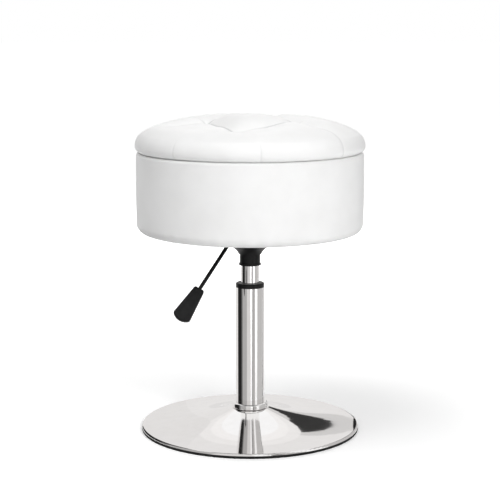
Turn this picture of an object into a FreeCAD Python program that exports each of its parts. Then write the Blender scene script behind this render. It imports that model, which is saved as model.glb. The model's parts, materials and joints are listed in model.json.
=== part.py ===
"""Swivel vanity stool: tufted lift-off lid, upholstered storage drum, gas-lift column, trumpet base.

Millimetres, +Z up, origin on the floor under the column. The stool stands near its lowest height.
"""
import FreeCAD, Part
import math
import os

import Sketcher
from FreeCAD import Placement, Rotation, Vector

SIZES = [
    # Clearances
    ("running_fit", 0.08, "radial clearance where one piece turns or slides in another"),
    ("seating_gap", 0.1, "clearance between nested pieces of one assembly"),
    ("soft_gap", 0.3, "clearance between soft pieces"),
    # Base
    ("base_diameter", 385, "outside of the rolled rim"),
    ("base_sheet", 1.8, "steel sheet of the dish"),
    ("rim_height", 8, "top of the dish at its rim"),
    ("foot_height", 4.5, "rubber ring, from the floor to the rim's edge"),
    ("foot_width", 7, "rubber ring, across its section"),
    ("foot_lip", 0.8, "lip of the rubber ring inside the rim"),
    ("hub_height", 36, "flat land around the column"),
    ("land_width", 8.2, "width of that land"),
    ("hub_wall", 5, "wall of the socket under the dish"),
    # Column
    ("column_diameter", 50, "outer column"),
    ("column_wall", 2, "wall of the outer column"),
    ("column_foot", 8, "lower end of the column above the floor"),
    ("column_length", 246, "length of the outer column"),
    ("column_taper_depth", 0.8, "radius lost at the tapered foot"),
    ("collar_diameter", 64, "trim ring on the land"),
    ("collar_height", 10.5, "height of the trim ring"),
    ("collar_round", 4, "rounding of the trim ring's outer edges"),
    ("bush_length", 70, "guide bush inside the column"),
    ("bush_flange", 7.6, "guide bush above the column"),
    ("bush_round", 2, "rounding of the bush's top edge"),
    # Thrust bearing and piston
    ("plug_thickness", 4, "plate in the foot of the column"),
    ("neck_diameter", 8, "rod where it passes the plug"),
    ("race_diameter", 22, "bearing races"),
    ("race_thickness", 1.2, "each bearing race"),
    ("ball_diameter", 3, "bearing ball"),
    ("ball_circle", 16, "circle through the balls' centres"),
    ("ball_count", 10, "bearing balls"),
    ("ball_gap", 0.05, "play between a ball and each race"),
    ("clip_gap", 0.4, "play between the clip and the plug"),
    ("clip_thickness", 1, "retaining clip"),
    ("clip_depth", 0.8, "depth of the clip's groove"),
    ("clip_reach", 3, "clip beyond the rod"),
    ("clip_opening", 5, "mouth of the open clip"),
    ("rod_end", 1.6, "rod below its clip"),
    ("rod_diameter", 10, "piston rod"),
    ("tenon_step", 1.5, "step of the rod where the piston sits"),
    ("bump_length", 10, "rubber stop on the bearing"),
    ("piston_length", 14, "piston"),
    ("piston_play", 0.4, "piston to cylinder, each side"),
    ("seal_depth", 2, "piston seal, in its groove"),
    ("seal_height", 4, "piston seal, along the rod"),
    # Gas cylinder
    ("lift_down_height", 20, "travel left below the standing height"),
    ("lift_up_height", 90, "travel left above the standing height"),
    ("stop_gap", 0.5, "room left at each end of the travel"),
    ("cylinder_diameter", 32, "gas cylinder"),
    ("cylinder_wall", 2, "wall of the gas cylinder"),
    ("crimp_height", 1.2, "rolled-in lower edge of the cylinder"),
    ("crimp_width", 2, "rolled-in lower edge, inwards"),
    ("gland_length", 18, "gland in the foot of the cylinder"),
    ("head_thickness", 6, "cylinder end below the taper"),
    ("taper_big", 28.4, "taper at its lower end"),
    ("taper_small", 26.4, "taper at its upper end"),
    ("taper_shoulder", 0.8, "gap from the cylinder's shoulder to the socket"),
    ("taper_short", 1, "cylinder's end below the socket's top"),
    ("valve_diameter", 8, "release pin"),
    ("valve_length", 30, "release pin"),
    ("valve_travel", 3.5, "stroke of the release pin"),
    ("valve_gap", 0.4, "play between the release pin and the lever"),
    # Seat hardware
    ("seat_bottom", 353.2, "underside of the drum above the floor"),
    ("plate_side", 160, "seat plate"),
    ("plate_corner", 16, "rounded corners of the seat plate"),
    ("plate_thickness", 2.5, "pressed steel of the seat plate"),
    ("pan_depth", 18.6, "pressed pan in the plate, from its top to its floor"),
    ("pan_floor", 64, "outside of the pan at its floor"),
    ("pan_mouth", 100, "outside of the pan at the flange"),
    ("socket_length", 41.5, "taper socket below the pan's floor"),
    ("socket_diameter", 33, "taper socket"),
    ("sleeve_diameter", 36, "black sleeve on the socket"),
    ("sleeve_lip", 39, "lip at the sleeve's lower end"),
    ("sleeve_lip_height", 2.6, "height of that lip"),
    ("bell_neck", 39.6, "lower end of the flared cover"),
    ("bell_waist", 60, "flared cover where its curve runs into the cone"),
    ("bell_mouth", 132, "flared cover at the seat plate"),
    ("bell_height", 38, "flared cover"),
    ("bell_curve", 26, "radius of the flare"),
    ("bell_curve_height", 11.2, "height of the flare"),
    ("bell_wall", 2.4, "wall of the flared cover, measured upright"),
    ("bell_notch", 9, "notch in the flared cover for the lever"),
    ("bolt_spacing", 120, "square pattern of the plate bolts"),
    ("bolt_diameter", 6, "plate bolts"),
    ("bolt_length", 18, "plate bolts below the head"),
    ("bolt_head", 11, "head diameter"),
    ("bolt_head_height", 3.3, "head height"),
    ("bolt_key", 3.4, "radius of the hexagon key's recess"),
    ("bolt_key_depth", 2, "depth of that recess"),
    ("washer_diameter", 14, "plate washers"),
    ("washer_thickness", 1.2, "plate washers"),
    ("nut_barrel", 8, "tee nut's barrel"),
    ("nut_flange", 19, "tee nut's flange"),
    ("nut_flange_thickness", 1.2, "tee nut's flange"),
    ("nut_length", 10, "tee nut's barrel"),
    # Lever, along its own +X before it is turned to its side of the stool
    ("lever_azimuth", 225, "direction of the lever about +Z, in degrees from +X"),
    ("lever_diameter", 6.6, "bent wire"),
    ("lever_height", 7, "wire's centre line above the pan's floor"),
    ("lever_overrun", 6, "wire beyond the release pin's axis"),
    ("lever_pivot", 22, "pivot from the column's axis"),
    ("lever_corner", 45.6, "corner of the bend from the column's axis"),
    ("lever_bend", 12, "radius of the bend"),
    ("lever_drop", 45, "slope of the outer arm, in degrees below level"),
    ("lever_arm", 130, "outer arm from the bend's corner to the wire's end"),
    ("pivot_pin", 4, "pivot pin"),
    ("pivot_boss", 8, "boss around the pin"),
    ("boss_length", 11, "boss along the pin"),
    ("ear_thickness", 2, "each ear of the bracket"),
    ("ear_play", 0.4, "play between the boss and each ear"),
    ("ear_length", 9, "bracket along the lever"),
    ("ear_height", 11.5, "bracket above the pan's floor"),
    ("bracket_floor", 2, "web of the bracket"),
    ("pin_head", 1.5, "pin beyond each ear"),
    ("slot_side", 0.5, "play beside the wire in the pan's slot"),
    ("slot_under", 0.3, "play under the wire in the pan's slot"),
    ("slot_over", 3.5, "room above the wire in the pan's slot"),
    ("handle_start", 103.5, "grip's inner end from the bend's corner, along the arm"),
    ("handle_length", 70, "paddle grip"),
    ("handle_inner", 18, "grip's width at the wire"),
    ("handle_outer", 32, "grip's width at its end"),
    ("handle_thickness", 10, "grip's thickness"),
    ("handle_notch", 12, "radius of the hollow at the grip's inner end"),
    ("handle_end", 21, "radius of the grip's outer end"),
    ("handle_corner", 4, "rounding of the grip's corners"),
    ("handle_edge", 2.5, "rounding of the grip's edges"),
    ("handle_bore", 32, "depth of the wire in the grip"),
    ("handle_twist", -39, "turn of the grip about the wire, in degrees"),
    # Drum
    ("drum_diameter", 394.4, "outside of the cover"),
    ("drum_height", 139.1, "cover, from the underside to the top edge"),
    ("drum_edge", 16, "rounding of the lower edge"),
    ("drum_brim", 5, "rounding of the top edge"),
    ("skin", 1.2, "leatherette"),
    ("turn_under", 46, "cover turned in under the drum"),
    ("padding", 7, "foam around the drum"),
    ("padding_short", 4, "foam's end below the cover's brim"),
    ("wall_thickness", 9, "bent plywood wall"),
    ("floor_thickness", 15, "plywood bottom"),
    ("floor_round", 12, "rounding of the bottom's lower edge"),
    ("lining", 0.7, "lining cloth"),
    ("dust_thickness", 0.8, "cloth under the drum"),
    # Lid
    ("lid_gap", 0.3, "lid above the drum at rest"),
    ("lid_diameter", 398.8, "widest part of the lid"),
    ("lid_lip", 11, "radius of the lid's lower edge"),
    ("crown_side", 27.6, "radius of the crown at the side"),
    ("crown_side_turn", 60.2, "turn of that radius, in degrees"),
    ("crown_shoulder", 178, "radius of the crown's shoulder"),
    ("crown_shoulder_turn", 82, "angle where the shoulder runs into the top, in degrees"),
    ("lid_turn_under", 30, "cover turned in under the lid"),
    ("board_inset", 13.4, "lid board inside the lid's side"),
    ("board_thickness", 12, "lid board"),
    ("core_height", 22, "foam core above the board"),
    ("core_inset", 16, "foam core inside the lid's side"),
    ("core_round", 18, "rounding of the foam core's edge"),
    ("locator_thickness", 10, "disc that centres the lid"),
    ("locator_play", 1.5, "play around that disc in the lining"),
    ("screw_inset", 8.4, "lid screws inside the turned-in cover"),
    ("screw_count", 6, "lid screws"),
    ("screw_diameter", 4, "lid screws"),
    ("screw_head", 8, "countersunk head"),
    ("screw_length", 19, "lid screws"),
    ("tuft_azimuth", 253, "direction of the first tuft about +Z, in degrees from +X"),
    ("tuft_inset", 119.4, "tufts inside the lid's side"),
    ("tuft_count", 4, "sewn tufts"),
    ("tuft_width", 38, "radius of the dimple around a tuft"),
    ("tuft_depth", 20, "depth of a tuft"),
    ("fold_width", 20, "half width of a fold at its tuft"),
    ("fold_start", 16, "depth of a fold at its tuft"),
    ("fold_depth", 9, "depth of a fold halfway along"),
    ("fold_end_width", 9, "half width of a fold at the lid's side"),
    ("fold_end_inset", 5, "end of a fold inside the lid's widest line"),
    ("fold_end_rise", 1, "end of a fold above the crown, where it fades out"),
    ("fold_sweep", 0.75, "share of its sideways run that a fold makes on its inner half"),
    ("fold_rise", 3, "cutting profile above the crown"),
]

doc = FreeCAD.newDocument("vanity_stool")
sheet = doc.addObject("Spreadsheet::Sheet", "dims")
for row, (alias, size, meaning) in enumerate(SIZES, start=1):
    sheet.set(f"A{row}", meaning)
    sheet.set(f"B{row}", str(size))
    sheet.setAlias(f"B{row}", alias)
doc.recompute()


def number(expression):
    """Value of an expression on the sheet, in millimetres or degrees."""
    return float(sheet.evalExpression(expression))


# Places that several pieces share, as expressions on the sheet

RIM_R = "(dims.base_diameter / 2)"
ROLL = "(dims.rim_height - dims.foot_height)"
DISH_EDGE_R = f"({RIM_R} - {ROLL})"
COLUMN_R = "(dims.column_diameter / 2)"
COLUMN_BORE_R = f"({COLUMN_R} - dims.column_wall)"
COLUMN_TOP = "(dims.column_foot + dims.column_length)"
LAND_R = f"({COLUMN_R} + dims.land_width)"
DISH_RISE = "(dims.hub_height - dims.rim_height)"
DISH_RUN = f"({DISH_EDGE_R} - {LAND_R})"
DISH_CURVE = f"(({DISH_RUN}^2 + {DISH_RISE}^2) / (2 * {DISH_RISE}))"
LAND_UNDER = f"(dims.rim_height + {DISH_CURVE} - sqrt(({DISH_CURVE} + dims.base_sheet)^2 - {DISH_RUN}^2))"

NECK_R = "(dims.neck_diameter / 2)"
ROD_R = "(dims.rod_diameter / 2)"
TENON_R = f"({ROD_R} - dims.tenon_step)"
RACE_R = "(dims.race_diameter / 2)"
BALL_R = "(dims.ball_diameter / 2)"
PLUG_TOP = "(dims.column_foot + dims.plug_thickness)"
LOWER_RACE_TOP = f"({PLUG_TOP} + dims.race_thickness)"
BALL_BOTTOM = f"({LOWER_RACE_TOP} + dims.ball_gap)"
UPPER_RACE_BOTTOM = f"({BALL_BOTTOM} + dims.ball_diameter + dims.ball_gap)"
ROD_SHOULDER = f"({UPPER_RACE_BOTTOM} + dims.race_thickness)"
BUMP_TOP = f"({ROD_SHOULDER} + dims.bump_length)"
CLIP_TOP = "(dims.column_foot - dims.clip_gap)"
CLIP_BOTTOM = f"({CLIP_TOP} - dims.clip_thickness)"
CLIP_GROOVE_R = f"({NECK_R} - dims.clip_depth)"

CYLINDER_R = "(dims.cylinder_diameter / 2)"
BORE_R = f"({CYLINDER_R} - dims.cylinder_wall)"
CYLINDER_BOTTOM = f"({BUMP_TOP} + dims.stop_gap + dims.lift_down_height)"
GLAND_BOTTOM = f"({CYLINDER_BOTTOM} + dims.crimp_height)"
GLAND_TOP = f"({GLAND_BOTTOM} + dims.gland_length)"
PISTON_BOTTOM = f"({GLAND_TOP} + dims.stop_gap + dims.lift_up_height)"
PISTON_TOP = f"({PISTON_BOTTOM} + dims.piston_length)"
SEAL_R = f"({BORE_R} - dims.piston_play - dims.seal_depth)"
SEAL_BOTTOM = f"(({PISTON_BOTTOM} + {PISTON_TOP} - dims.seal_height) / 2)"
SEAL_TOP = f"({SEAL_BOTTOM} + dims.seal_height)"

BOARD_UNDER = "(dims.seat_bottom + dims.skin)"
BOARD_TOP = f"({BOARD_UNDER} + dims.floor_thickness)"
PLATE_TOP = f"({BOARD_UNDER} - dims.dust_thickness)"
PLATE_UNDER = f"({PLATE_TOP} - dims.plate_thickness)"
PAN_FLOOR = f"({PLATE_TOP} - dims.pan_depth)"
PAN_UNDER = f"({PAN_FLOOR} - dims.plate_thickness)"
PAN_FLOOR_R = "(dims.pan_floor / 2)"
PAN_MOUTH_R = "(dims.pan_mouth / 2)"
SOCKET_R = "(dims.socket_diameter / 2)"
SOCKET_BOTTOM = f"({PAN_FLOOR} - dims.socket_length)"
SLEEVE_R = "(dims.sleeve_diameter / 2)"
CYLINDER_SHOULDER = f"({SOCKET_BOTTOM} - dims.taper_shoulder)"
CYLINDER_TOP = f"({PAN_FLOOR} - dims.taper_short)"
CHAMBER_TOP = f"({CYLINDER_SHOULDER} - dims.head_thickness)"
BELL_BOTTOM = f"({PLATE_UNDER} - dims.bell_height)"
BELL_WAIST = f"({BELL_BOTTOM} + dims.bell_curve_height)"
BELL_SLOPE = f"((dims.bell_mouth - dims.bell_waist) / 2 / ({PLATE_UNDER} - {BELL_WAIST}))"

WIRE_R = "(dims.lever_diameter / 2)"
LEVER_Z = f"({PAN_FLOOR} + dims.lever_height)"
VALVE_R = "(dims.valve_diameter / 2)"
VALVE_TOP = f"({LEVER_Z} - {WIRE_R} - dims.valve_gap)"
VALVE_BOTTOM = f"({VALVE_TOP} - dims.valve_length)"
VALVE_FLOOR = f"({VALVE_BOTTOM} - dims.valve_travel - dims.stop_gap)"
EAR_INNER = "(dims.boss_length / 2 + dims.ear_play)"
EAR_OUTER = f"({EAR_INNER} + dims.ear_thickness)"

DRUM_R = "(dims.drum_diameter / 2)"
DRUM_TOP = "(dims.seat_bottom + dims.drum_height)"
SKIN_INNER_R = f"({DRUM_R} - dims.skin)"
PADDING_R = f"({SKIN_INNER_R} - dims.soft_gap)"
WALL_OUTER_R = f"({PADDING_R} - dims.padding - dims.soft_gap)"
WALL_INNER_R = f"({WALL_OUTER_R} - dims.wall_thickness)"
WALL_TOP = f"({DRUM_TOP} - dims.skin)"
LINING_OUTER_R = f"({WALL_INNER_R} - dims.soft_gap)"
LINING_INNER_R = f"({LINING_OUTER_R} - dims.lining)"
LINING_UNDER = f"({BOARD_TOP} + dims.nut_flange_thickness + dims.soft_gap)"
TURN_UNDER_R = f"({DRUM_R} - dims.turn_under)"

LID_R = "(dims.lid_diameter / 2)"
LID_BOTTOM = f"({DRUM_TOP} + dims.lid_gap)"
LID_WIDEST = f"({LID_BOTTOM} + dims.lid_lip)"
LID_UNDER_R = f"({LID_R} - dims.lid_lip)"
LID_TURN_R = f"({LID_UNDER_R} - dims.lid_turn_under)"
SIDE_END_R = f"({LID_R} - dims.crown_side * (1 - cos(dims.crown_side_turn)))"
SIDE_END = f"({LID_WIDEST} + dims.crown_side * sin(dims.crown_side_turn))"
SHOULDER_END_R = (f"({SIDE_END_R} - dims.crown_shoulder"
                  " * (cos(dims.crown_side_turn) - cos(dims.crown_shoulder_turn)))")
SHOULDER_END = (f"({SIDE_END} + dims.crown_shoulder"
                " * (sin(dims.crown_shoulder_turn) - sin(dims.crown_side_turn)))")
TOP_CURVE = f"({SHOULDER_END_R} / cos(dims.crown_shoulder_turn))"
CROWN_TOP = f"({SHOULDER_END} + {TOP_CURVE} * (1 - sin(dims.crown_shoulder_turn)))"
LID_BOARD_UNDER = f"({LID_BOTTOM} + dims.skin)"
LID_BOARD_TOP = f"({LID_BOARD_UNDER} + dims.board_thickness)"
LID_BOARD_R = f"({LID_R} - dims.board_inset)"
CORE_TOP = f"({LID_BOARD_TOP} + dims.soft_gap + dims.core_height)"
CORE_R = f"({LID_R} - dims.core_inset)"
LOCATOR_R = f"({LINING_INNER_R} - dims.locator_play)"
LOCATOR_UNDER = f"({LID_BOTTOM} - dims.locator_thickness)"
SCREW_CIRCLE = f"(2 * ({LID_TURN_R} - dims.screw_inset))"
TUFT_R = f"({LID_R} - dims.tuft_inset)"


def new_body(label):
    body = doc.addObject("PartDesign::Body", label)
    body.Label = label
    return body


def origin_feature(body, role):
    return next(item for item in body.Origin.OriginFeatures if item.Role == role)


def new_sketch(body, name, role, across=None, off=None):
    """Sketch on an origin plane, moved across it or off it by expressions."""
    sketch = body.newObject("Sketcher::SketchObject", name)
    sketch.AttachmentSupport = [(origin_feature(body, role), "")]
    sketch.MapMode = "FlatFace"
    if across:
        sketch.setExpression("AttachmentOffset.Base.x", across)
    if off:
        sketch.setExpression("AttachmentOffset.Base.z", off)
    return sketch


def constrain(sketch, kind, places, expression):
    index = sketch.addConstraint(Sketcher.Constraint(kind, *places, number(expression)))
    sketch.setExpression(f"Constraints[{index}]", expression)


def hold(sketch, edge, end, across, up):
    """Ties one end of an edge to its place from the sketch's origin."""
    for kind, axis, expression in (("DistanceX", -2, across), ("DistanceY", -1, up)):
        if expression == "0":
            sketch.addConstraint(Sketcher.Constraint("PointOnObject", edge, end, axis))
        elif number(expression) < 0:
            constrain(sketch, kind, (edge, end, -1, 1), f"-({expression})")
        else:
            constrain(sketch, kind, (-1, 1, edge, end), expression)


def arc_between(start, end, radius, turn):
    """Short arc from start to end; turn is 1 where it bends left on its way and -1 where it bends right."""
    chord = end - start
    reach = math.sqrt(max(radius ** 2 - (chord.Length / 2) ** 2, 0))
    left = Vector(-chord.y, chord.x, 0).normalize()
    centre = (start + end) * 0.5 + left * (reach * turn)
    start_angle = math.atan2(start.y - centre.y, start.x - centre.x)
    end_angle = math.atan2(end.y - centre.y, end.x - centre.x)
    circle = Part.Circle(centre, Vector(0, 0, 1), radius)
    if turn > 0:
        return Part.ArcOfCircle(circle, start_angle, end_angle), 1, 2
    return Part.ArcOfCircle(circle, end_angle, start_angle), 2, 1


def draw(sketch, corners, arcs=None, closed=True):
    """Outline through corners given as pairs of expressions; arcs maps a corner to (radius, turn)."""
    arcs = arcs or {}
    spots = [Vector(number(across), number(up), 0) for across, up in corners]
    edges = []
    for index in range(len(spots) if closed else len(spots) - 1):
        start = spots[index]
        end = spots[(index + 1) % len(spots)]
        if index in arcs:
            radius, turn = arcs[index]
            curve, first, last = arc_between(start, end, number(radius), turn)
            edge = sketch.addGeometry(curve, False)
            constrain(sketch, "Radius", (edge,), radius)
        else:
            edge = sketch.addGeometry(Part.LineSegment(start, end), False)
            first, last = 1, 2
        edges.append((edge, first, last))
    for index in range(len(edges) if closed else len(edges) - 1):
        edge, _, last = edges[index]
        following, first, _ = edges[(index + 1) % len(edges)]
        sketch.addConstraint(Sketcher.Constraint("Coincident", edge, last, following, first))
    for (edge, first, _), (across, up) in zip(edges, corners):
        hold(sketch, edge, first, across, up)
    if not closed:
        edge, _, last = edges[-1]
        hold(sketch, edge, last, *corners[-1])


def draw_circle(sketch, across, up, radius):
    centre = Vector(number(across), number(up), 0)
    edge = sketch.addGeometry(Part.Circle(centre, Vector(0, 0, 1), number(radius)), False)
    constrain(sketch, "Radius", (edge,), radius)
    hold(sketch, edge, 3, across, up)


def turn_profile(body, kind, name, corners, arcs=None, axis_at=None):
    """Revolution or Groove of a profile (radius, height) about +Z or about a line at axis_at along X."""
    sketch = new_sketch(body, f"{name}_profile", "XZ_Plane", across=axis_at)
    draw(sketch, corners, arcs)
    feature = body.newObject(f"PartDesign::{kind}", name)
    feature.Profile = sketch
    feature.ReferenceAxis = (sketch, ["V_Axis"])
    feature.Angle = 360
    return feature


def turned(label, corners, arcs=None):
    body = new_body(label)
    turn_profile(body, "Revolution", f"{label}_turn", corners, arcs)
    return body


def extrude(body, kind, name, sketch, length=None, symmetric=False, backwards=False):
    feature = body.newObject(f"PartDesign::{kind}", name)
    feature.Profile = sketch
    if length:
        feature.setExpression("Length", length)
    else:
        feature.Type = "ThroughAll"
    if symmetric:
        feature.SideType = "Symmetric"
    feature.Reversed = backwards
    return feature


def repeat_round(body, feature, count):
    """Repeats a feature around +Z, as often as the expression count says."""
    pattern = body.newObject("PartDesign::PolarPattern", f"{feature.Name}_round")
    pattern.Originals = [feature]
    pattern.Axis = (origin_feature(body, "Z_Axis"), [""])
    pattern.Angle = 360
    pattern.setExpression("Occurrences", count)
    body.Tip = pattern
    return pattern


def scattered(label, corners, arcs, circle, count):
    """One node of equal turned pieces on a circle around +Z."""
    body = new_body(label)
    body.AllowCompound = True
    piece = turn_profile(body, "Revolution", f"{label}_turn", corners, arcs, axis_at=f"{circle} / 2")
    doc.recompute()
    repeat_round(body, piece, count)
    return body


def drill_round(body, name, radius, circle, count):
    """Equal through holes on a circle around +Z."""
    sketch = new_sketch(body, f"{name}_sketch", "XY_Plane")
    draw_circle(sketch, f"{circle} / 2", "0", radius)
    hole = extrude(body, "Pocket", name, sketch, symmetric=True)
    doc.recompute()
    return repeat_round(body, hole, count)


def ring(label, inner, outer, bottom, top):
    return turned(label, [(inner, bottom), (outer, bottom), (outer, top), (inner, top)])


def face_lever(body):
    """Turns a piece made along +X to the lever's side of the stool."""
    body.Placement = Placement(Vector(), Rotation(Vector(0, 0, 1), number("dims.lever_azimuth")))


BOLT_CIRCLE = "(dims.bolt_spacing * sqrt(2))"
BOLT_COUNT = "4"


def face_bolts(body):
    """Turns a round pattern that starts on +X to the corners of the seat plate."""
    turn = number("dims.lever_azimuth") + 45
    body.Placement = Placement(Vector(), Rotation(Vector(0, 0, 1), turn))


def make_base():
    ring_outer = f"({RIM_R} - dims.seating_gap)"
    ring_inner = f"({RIM_R} - dims.foot_width)"
    lip_outer = f"({RIM_R} - dims.base_sheet - dims.foot_lip)"
    lip_top = "(dims.foot_height + dims.foot_lip)"
    turned("floor_ring", [
        (ring_inner, "0"), (ring_outer, "0"), (ring_outer, "dims.foot_height"),
        (lip_outer, "dims.foot_height"), (lip_outer, lip_top), (ring_inner, lip_top)])

    land_hole = f"({COLUMN_R} + dims.seating_gap)"
    turned("base_dish", [
        (land_hole, "dims.hub_height"), (LAND_R, "dims.hub_height"),
        (DISH_EDGE_R, "dims.rim_height"), (RIM_R, "dims.foot_height"),
        (f"({RIM_R} - dims.base_sheet)", "dims.foot_height"),
        (DISH_EDGE_R, "(dims.rim_height - dims.base_sheet)"),
        (LAND_R, LAND_UNDER), (land_hole, LAND_UNDER)],
        {1: (DISH_CURVE, 1), 2: (ROLL, -1), 4: (f"({ROLL} - dims.base_sheet)", 1),
         5: (f"({DISH_CURVE} + dims.base_sheet)", -1)})

    foot_r = f"({COLUMN_R} - dims.column_taper_depth)"
    hub_outer = f"({COLUMN_R} + dims.hub_wall)"
    turned("hub_socket", [
        (f"({foot_r} + dims.seating_gap)", "dims.column_foot"), (hub_outer, "dims.column_foot"),
        (hub_outer, LAND_UNDER), (land_hole, LAND_UNDER)])

    collar_r = "(dims.collar_diameter / 2)"
    collar_flat_r = f"({collar_r} - dims.collar_round)"
    collar_top = "(dims.hub_height + dims.collar_height)"
    turned("collar_ring", [
        (land_hole, "dims.hub_height"), (collar_flat_r, "dims.hub_height"),
        (collar_r, "(dims.hub_height + dims.collar_round)"),
        (collar_r, f"({collar_top} - dims.collar_round)"),
        (collar_flat_r, collar_top), (land_hole, collar_top)],
        {1: ("dims.collar_round", 1), 3: ("dims.collar_round", 1)})

    turned("column_tube", [
        (COLUMN_BORE_R, "dims.column_foot"), (foot_r, "dims.column_foot"),
        (COLUMN_R, "dims.hub_height"), (COLUMN_R, COLUMN_TOP), (COLUMN_BORE_R, COLUMN_TOP)])

    bush_bore = f"({CYLINDER_R} + dims.running_fit)"
    bush_sleeve = f"({COLUMN_BORE_R} - dims.seating_gap)"
    bush_bottom = f"({COLUMN_TOP} - dims.bush_length)"
    bush_top = f"({COLUMN_TOP} + dims.bush_flange)"
    turned("guide_bush", [
        (bush_bore, bush_bottom), (bush_sleeve, bush_bottom), (bush_sleeve, COLUMN_TOP),
        (COLUMN_R, COLUMN_TOP), (COLUMN_R, f"({bush_top} - dims.bush_round)"),
        (f"({COLUMN_R} - dims.bush_round)", bush_top), (bush_bore, bush_top)],
        {4: ("dims.bush_round", 1)})

    plug_bore = f"({NECK_R} + dims.running_fit)"
    ring("column_plug", plug_bore, f"({COLUMN_BORE_R} - dims.seating_gap)", "dims.column_foot", PLUG_TOP)
    ring("lower_race", f"({NECK_R} + dims.soft_gap)", RACE_R, PLUG_TOP, LOWER_RACE_TOP)
    scattered("bearing_balls", [
        ("0", BALL_BOTTOM), (BALL_R, f"({BALL_BOTTOM} + {BALL_R})"),
        ("0", f"({BALL_BOTTOM} + dims.ball_diameter)")],
        {0: (BALL_R, 1), 1: (BALL_R, 1)}, "dims.ball_circle", "dims.ball_count")


def make_piston():
    rod_bottom = f"({CLIP_BOTTOM} - dims.rod_end)"
    turned("piston_rod", [
        ("0", rod_bottom), (NECK_R, rod_bottom), (NECK_R, CLIP_BOTTOM), (CLIP_GROOVE_R, CLIP_BOTTOM),
        (CLIP_GROOVE_R, CLIP_TOP), (NECK_R, CLIP_TOP), (NECK_R, ROD_SHOULDER), (ROD_R, ROD_SHOULDER),
        (ROD_R, PISTON_BOTTOM), (TENON_R, PISTON_BOTTOM), (TENON_R, PISTON_TOP), ("0", PISTON_TOP)])

    clip = ring("rod_clip", f"({CLIP_GROOVE_R} + dims.seating_gap)", f"({NECK_R} + dims.clip_reach)",
                CLIP_BOTTOM, CLIP_TOP)
    doc.recompute()
    mouth = new_sketch(clip, "rod_clip_mouth", "XY_Plane", off=CLIP_TOP)
    far = f"({NECK_R} + 2 * dims.clip_reach)"
    half = "(dims.clip_opening / 2)"
    draw(mouth, [("0", f"-{half}"), (far, f"-{half}"), (far, half), ("0", half)])
    extrude(clip, "Pocket", "rod_clip_cut", mouth, symmetric=True)

    ring("upper_race", f"({NECK_R} + dims.seating_gap)", RACE_R, UPPER_RACE_BOTTOM, ROD_SHOULDER)
    ring("bump_stop", f"({ROD_R} + dims.seating_gap)", RACE_R, ROD_SHOULDER, BUMP_TOP)

    piston_r = f"({BORE_R} - dims.piston_play)"
    piston_bore = f"({TENON_R} + dims.seating_gap)"
    turned("piston_head", [
        (piston_bore, PISTON_BOTTOM), (piston_r, PISTON_BOTTOM), (piston_r, SEAL_BOTTOM),
        (SEAL_R, SEAL_BOTTOM), (SEAL_R, SEAL_TOP), (piston_r, SEAL_TOP), (piston_r, PISTON_TOP),
        (piston_bore, PISTON_TOP)])
    ring("piston_seal", f"({SEAL_R} + dims.seating_gap)", f"({BORE_R} - dims.running_fit)",
         f"({SEAL_BOTTOM} + dims.seating_gap)", f"({SEAL_TOP} - dims.seating_gap)")


def make_gas_cylinder():
    crimp_r = f"({BORE_R} - dims.crimp_width)"
    taper_big_r = "(dims.taper_big / 2)"
    taper_small_r = "(dims.taper_small / 2)"
    valve_bore = f"({VALVE_R} + dims.running_fit)"
    turned("gas_cylinder", [
        (crimp_r, CYLINDER_BOTTOM), (CYLINDER_R, CYLINDER_BOTTOM), (CYLINDER_R, CYLINDER_SHOULDER),
        (taper_big_r, CYLINDER_SHOULDER), (taper_small_r, CYLINDER_TOP), (valve_bore, CYLINDER_TOP),
        (valve_bore, VALVE_FLOOR), ("0", VALVE_FLOOR), ("0", CHAMBER_TOP), (BORE_R, CHAMBER_TOP),
        (BORE_R, GLAND_BOTTOM), (crimp_r, GLAND_BOTTOM)])
    ring("rod_gland", f"({ROD_R} + dims.running_fit)", f"({BORE_R} - dims.seating_gap)",
         GLAND_BOTTOM, GLAND_TOP)
    turned("valve_pin", [
        ("0", VALVE_BOTTOM), (VALVE_R, VALVE_BOTTOM), (VALVE_R, VALVE_TOP), ("0", VALVE_TOP)])
    turned("taper_socket", [
        (f"({taper_big_r} + dims.seating_gap)", SOCKET_BOTTOM), (SOCKET_R, SOCKET_BOTTOM),
        (SOCKET_R, PAN_FLOOR), (f"({taper_small_r} + dims.seating_gap)", PAN_FLOOR)])
    sleeve_bore = f"({SOCKET_R} + dims.seating_gap)"
    lip_r = "(dims.sleeve_lip / 2)"
    lip_top = f"({SOCKET_BOTTOM} + dims.sleeve_lip_height)"
    turned("neck_sleeve", [
        (sleeve_bore, SOCKET_BOTTOM), (lip_r, SOCKET_BOTTOM), (lip_r, lip_top), (SLEEVE_R, lip_top),
        (SLEEVE_R, PAN_UNDER), (sleeve_bore, PAN_UNDER)])


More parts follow.
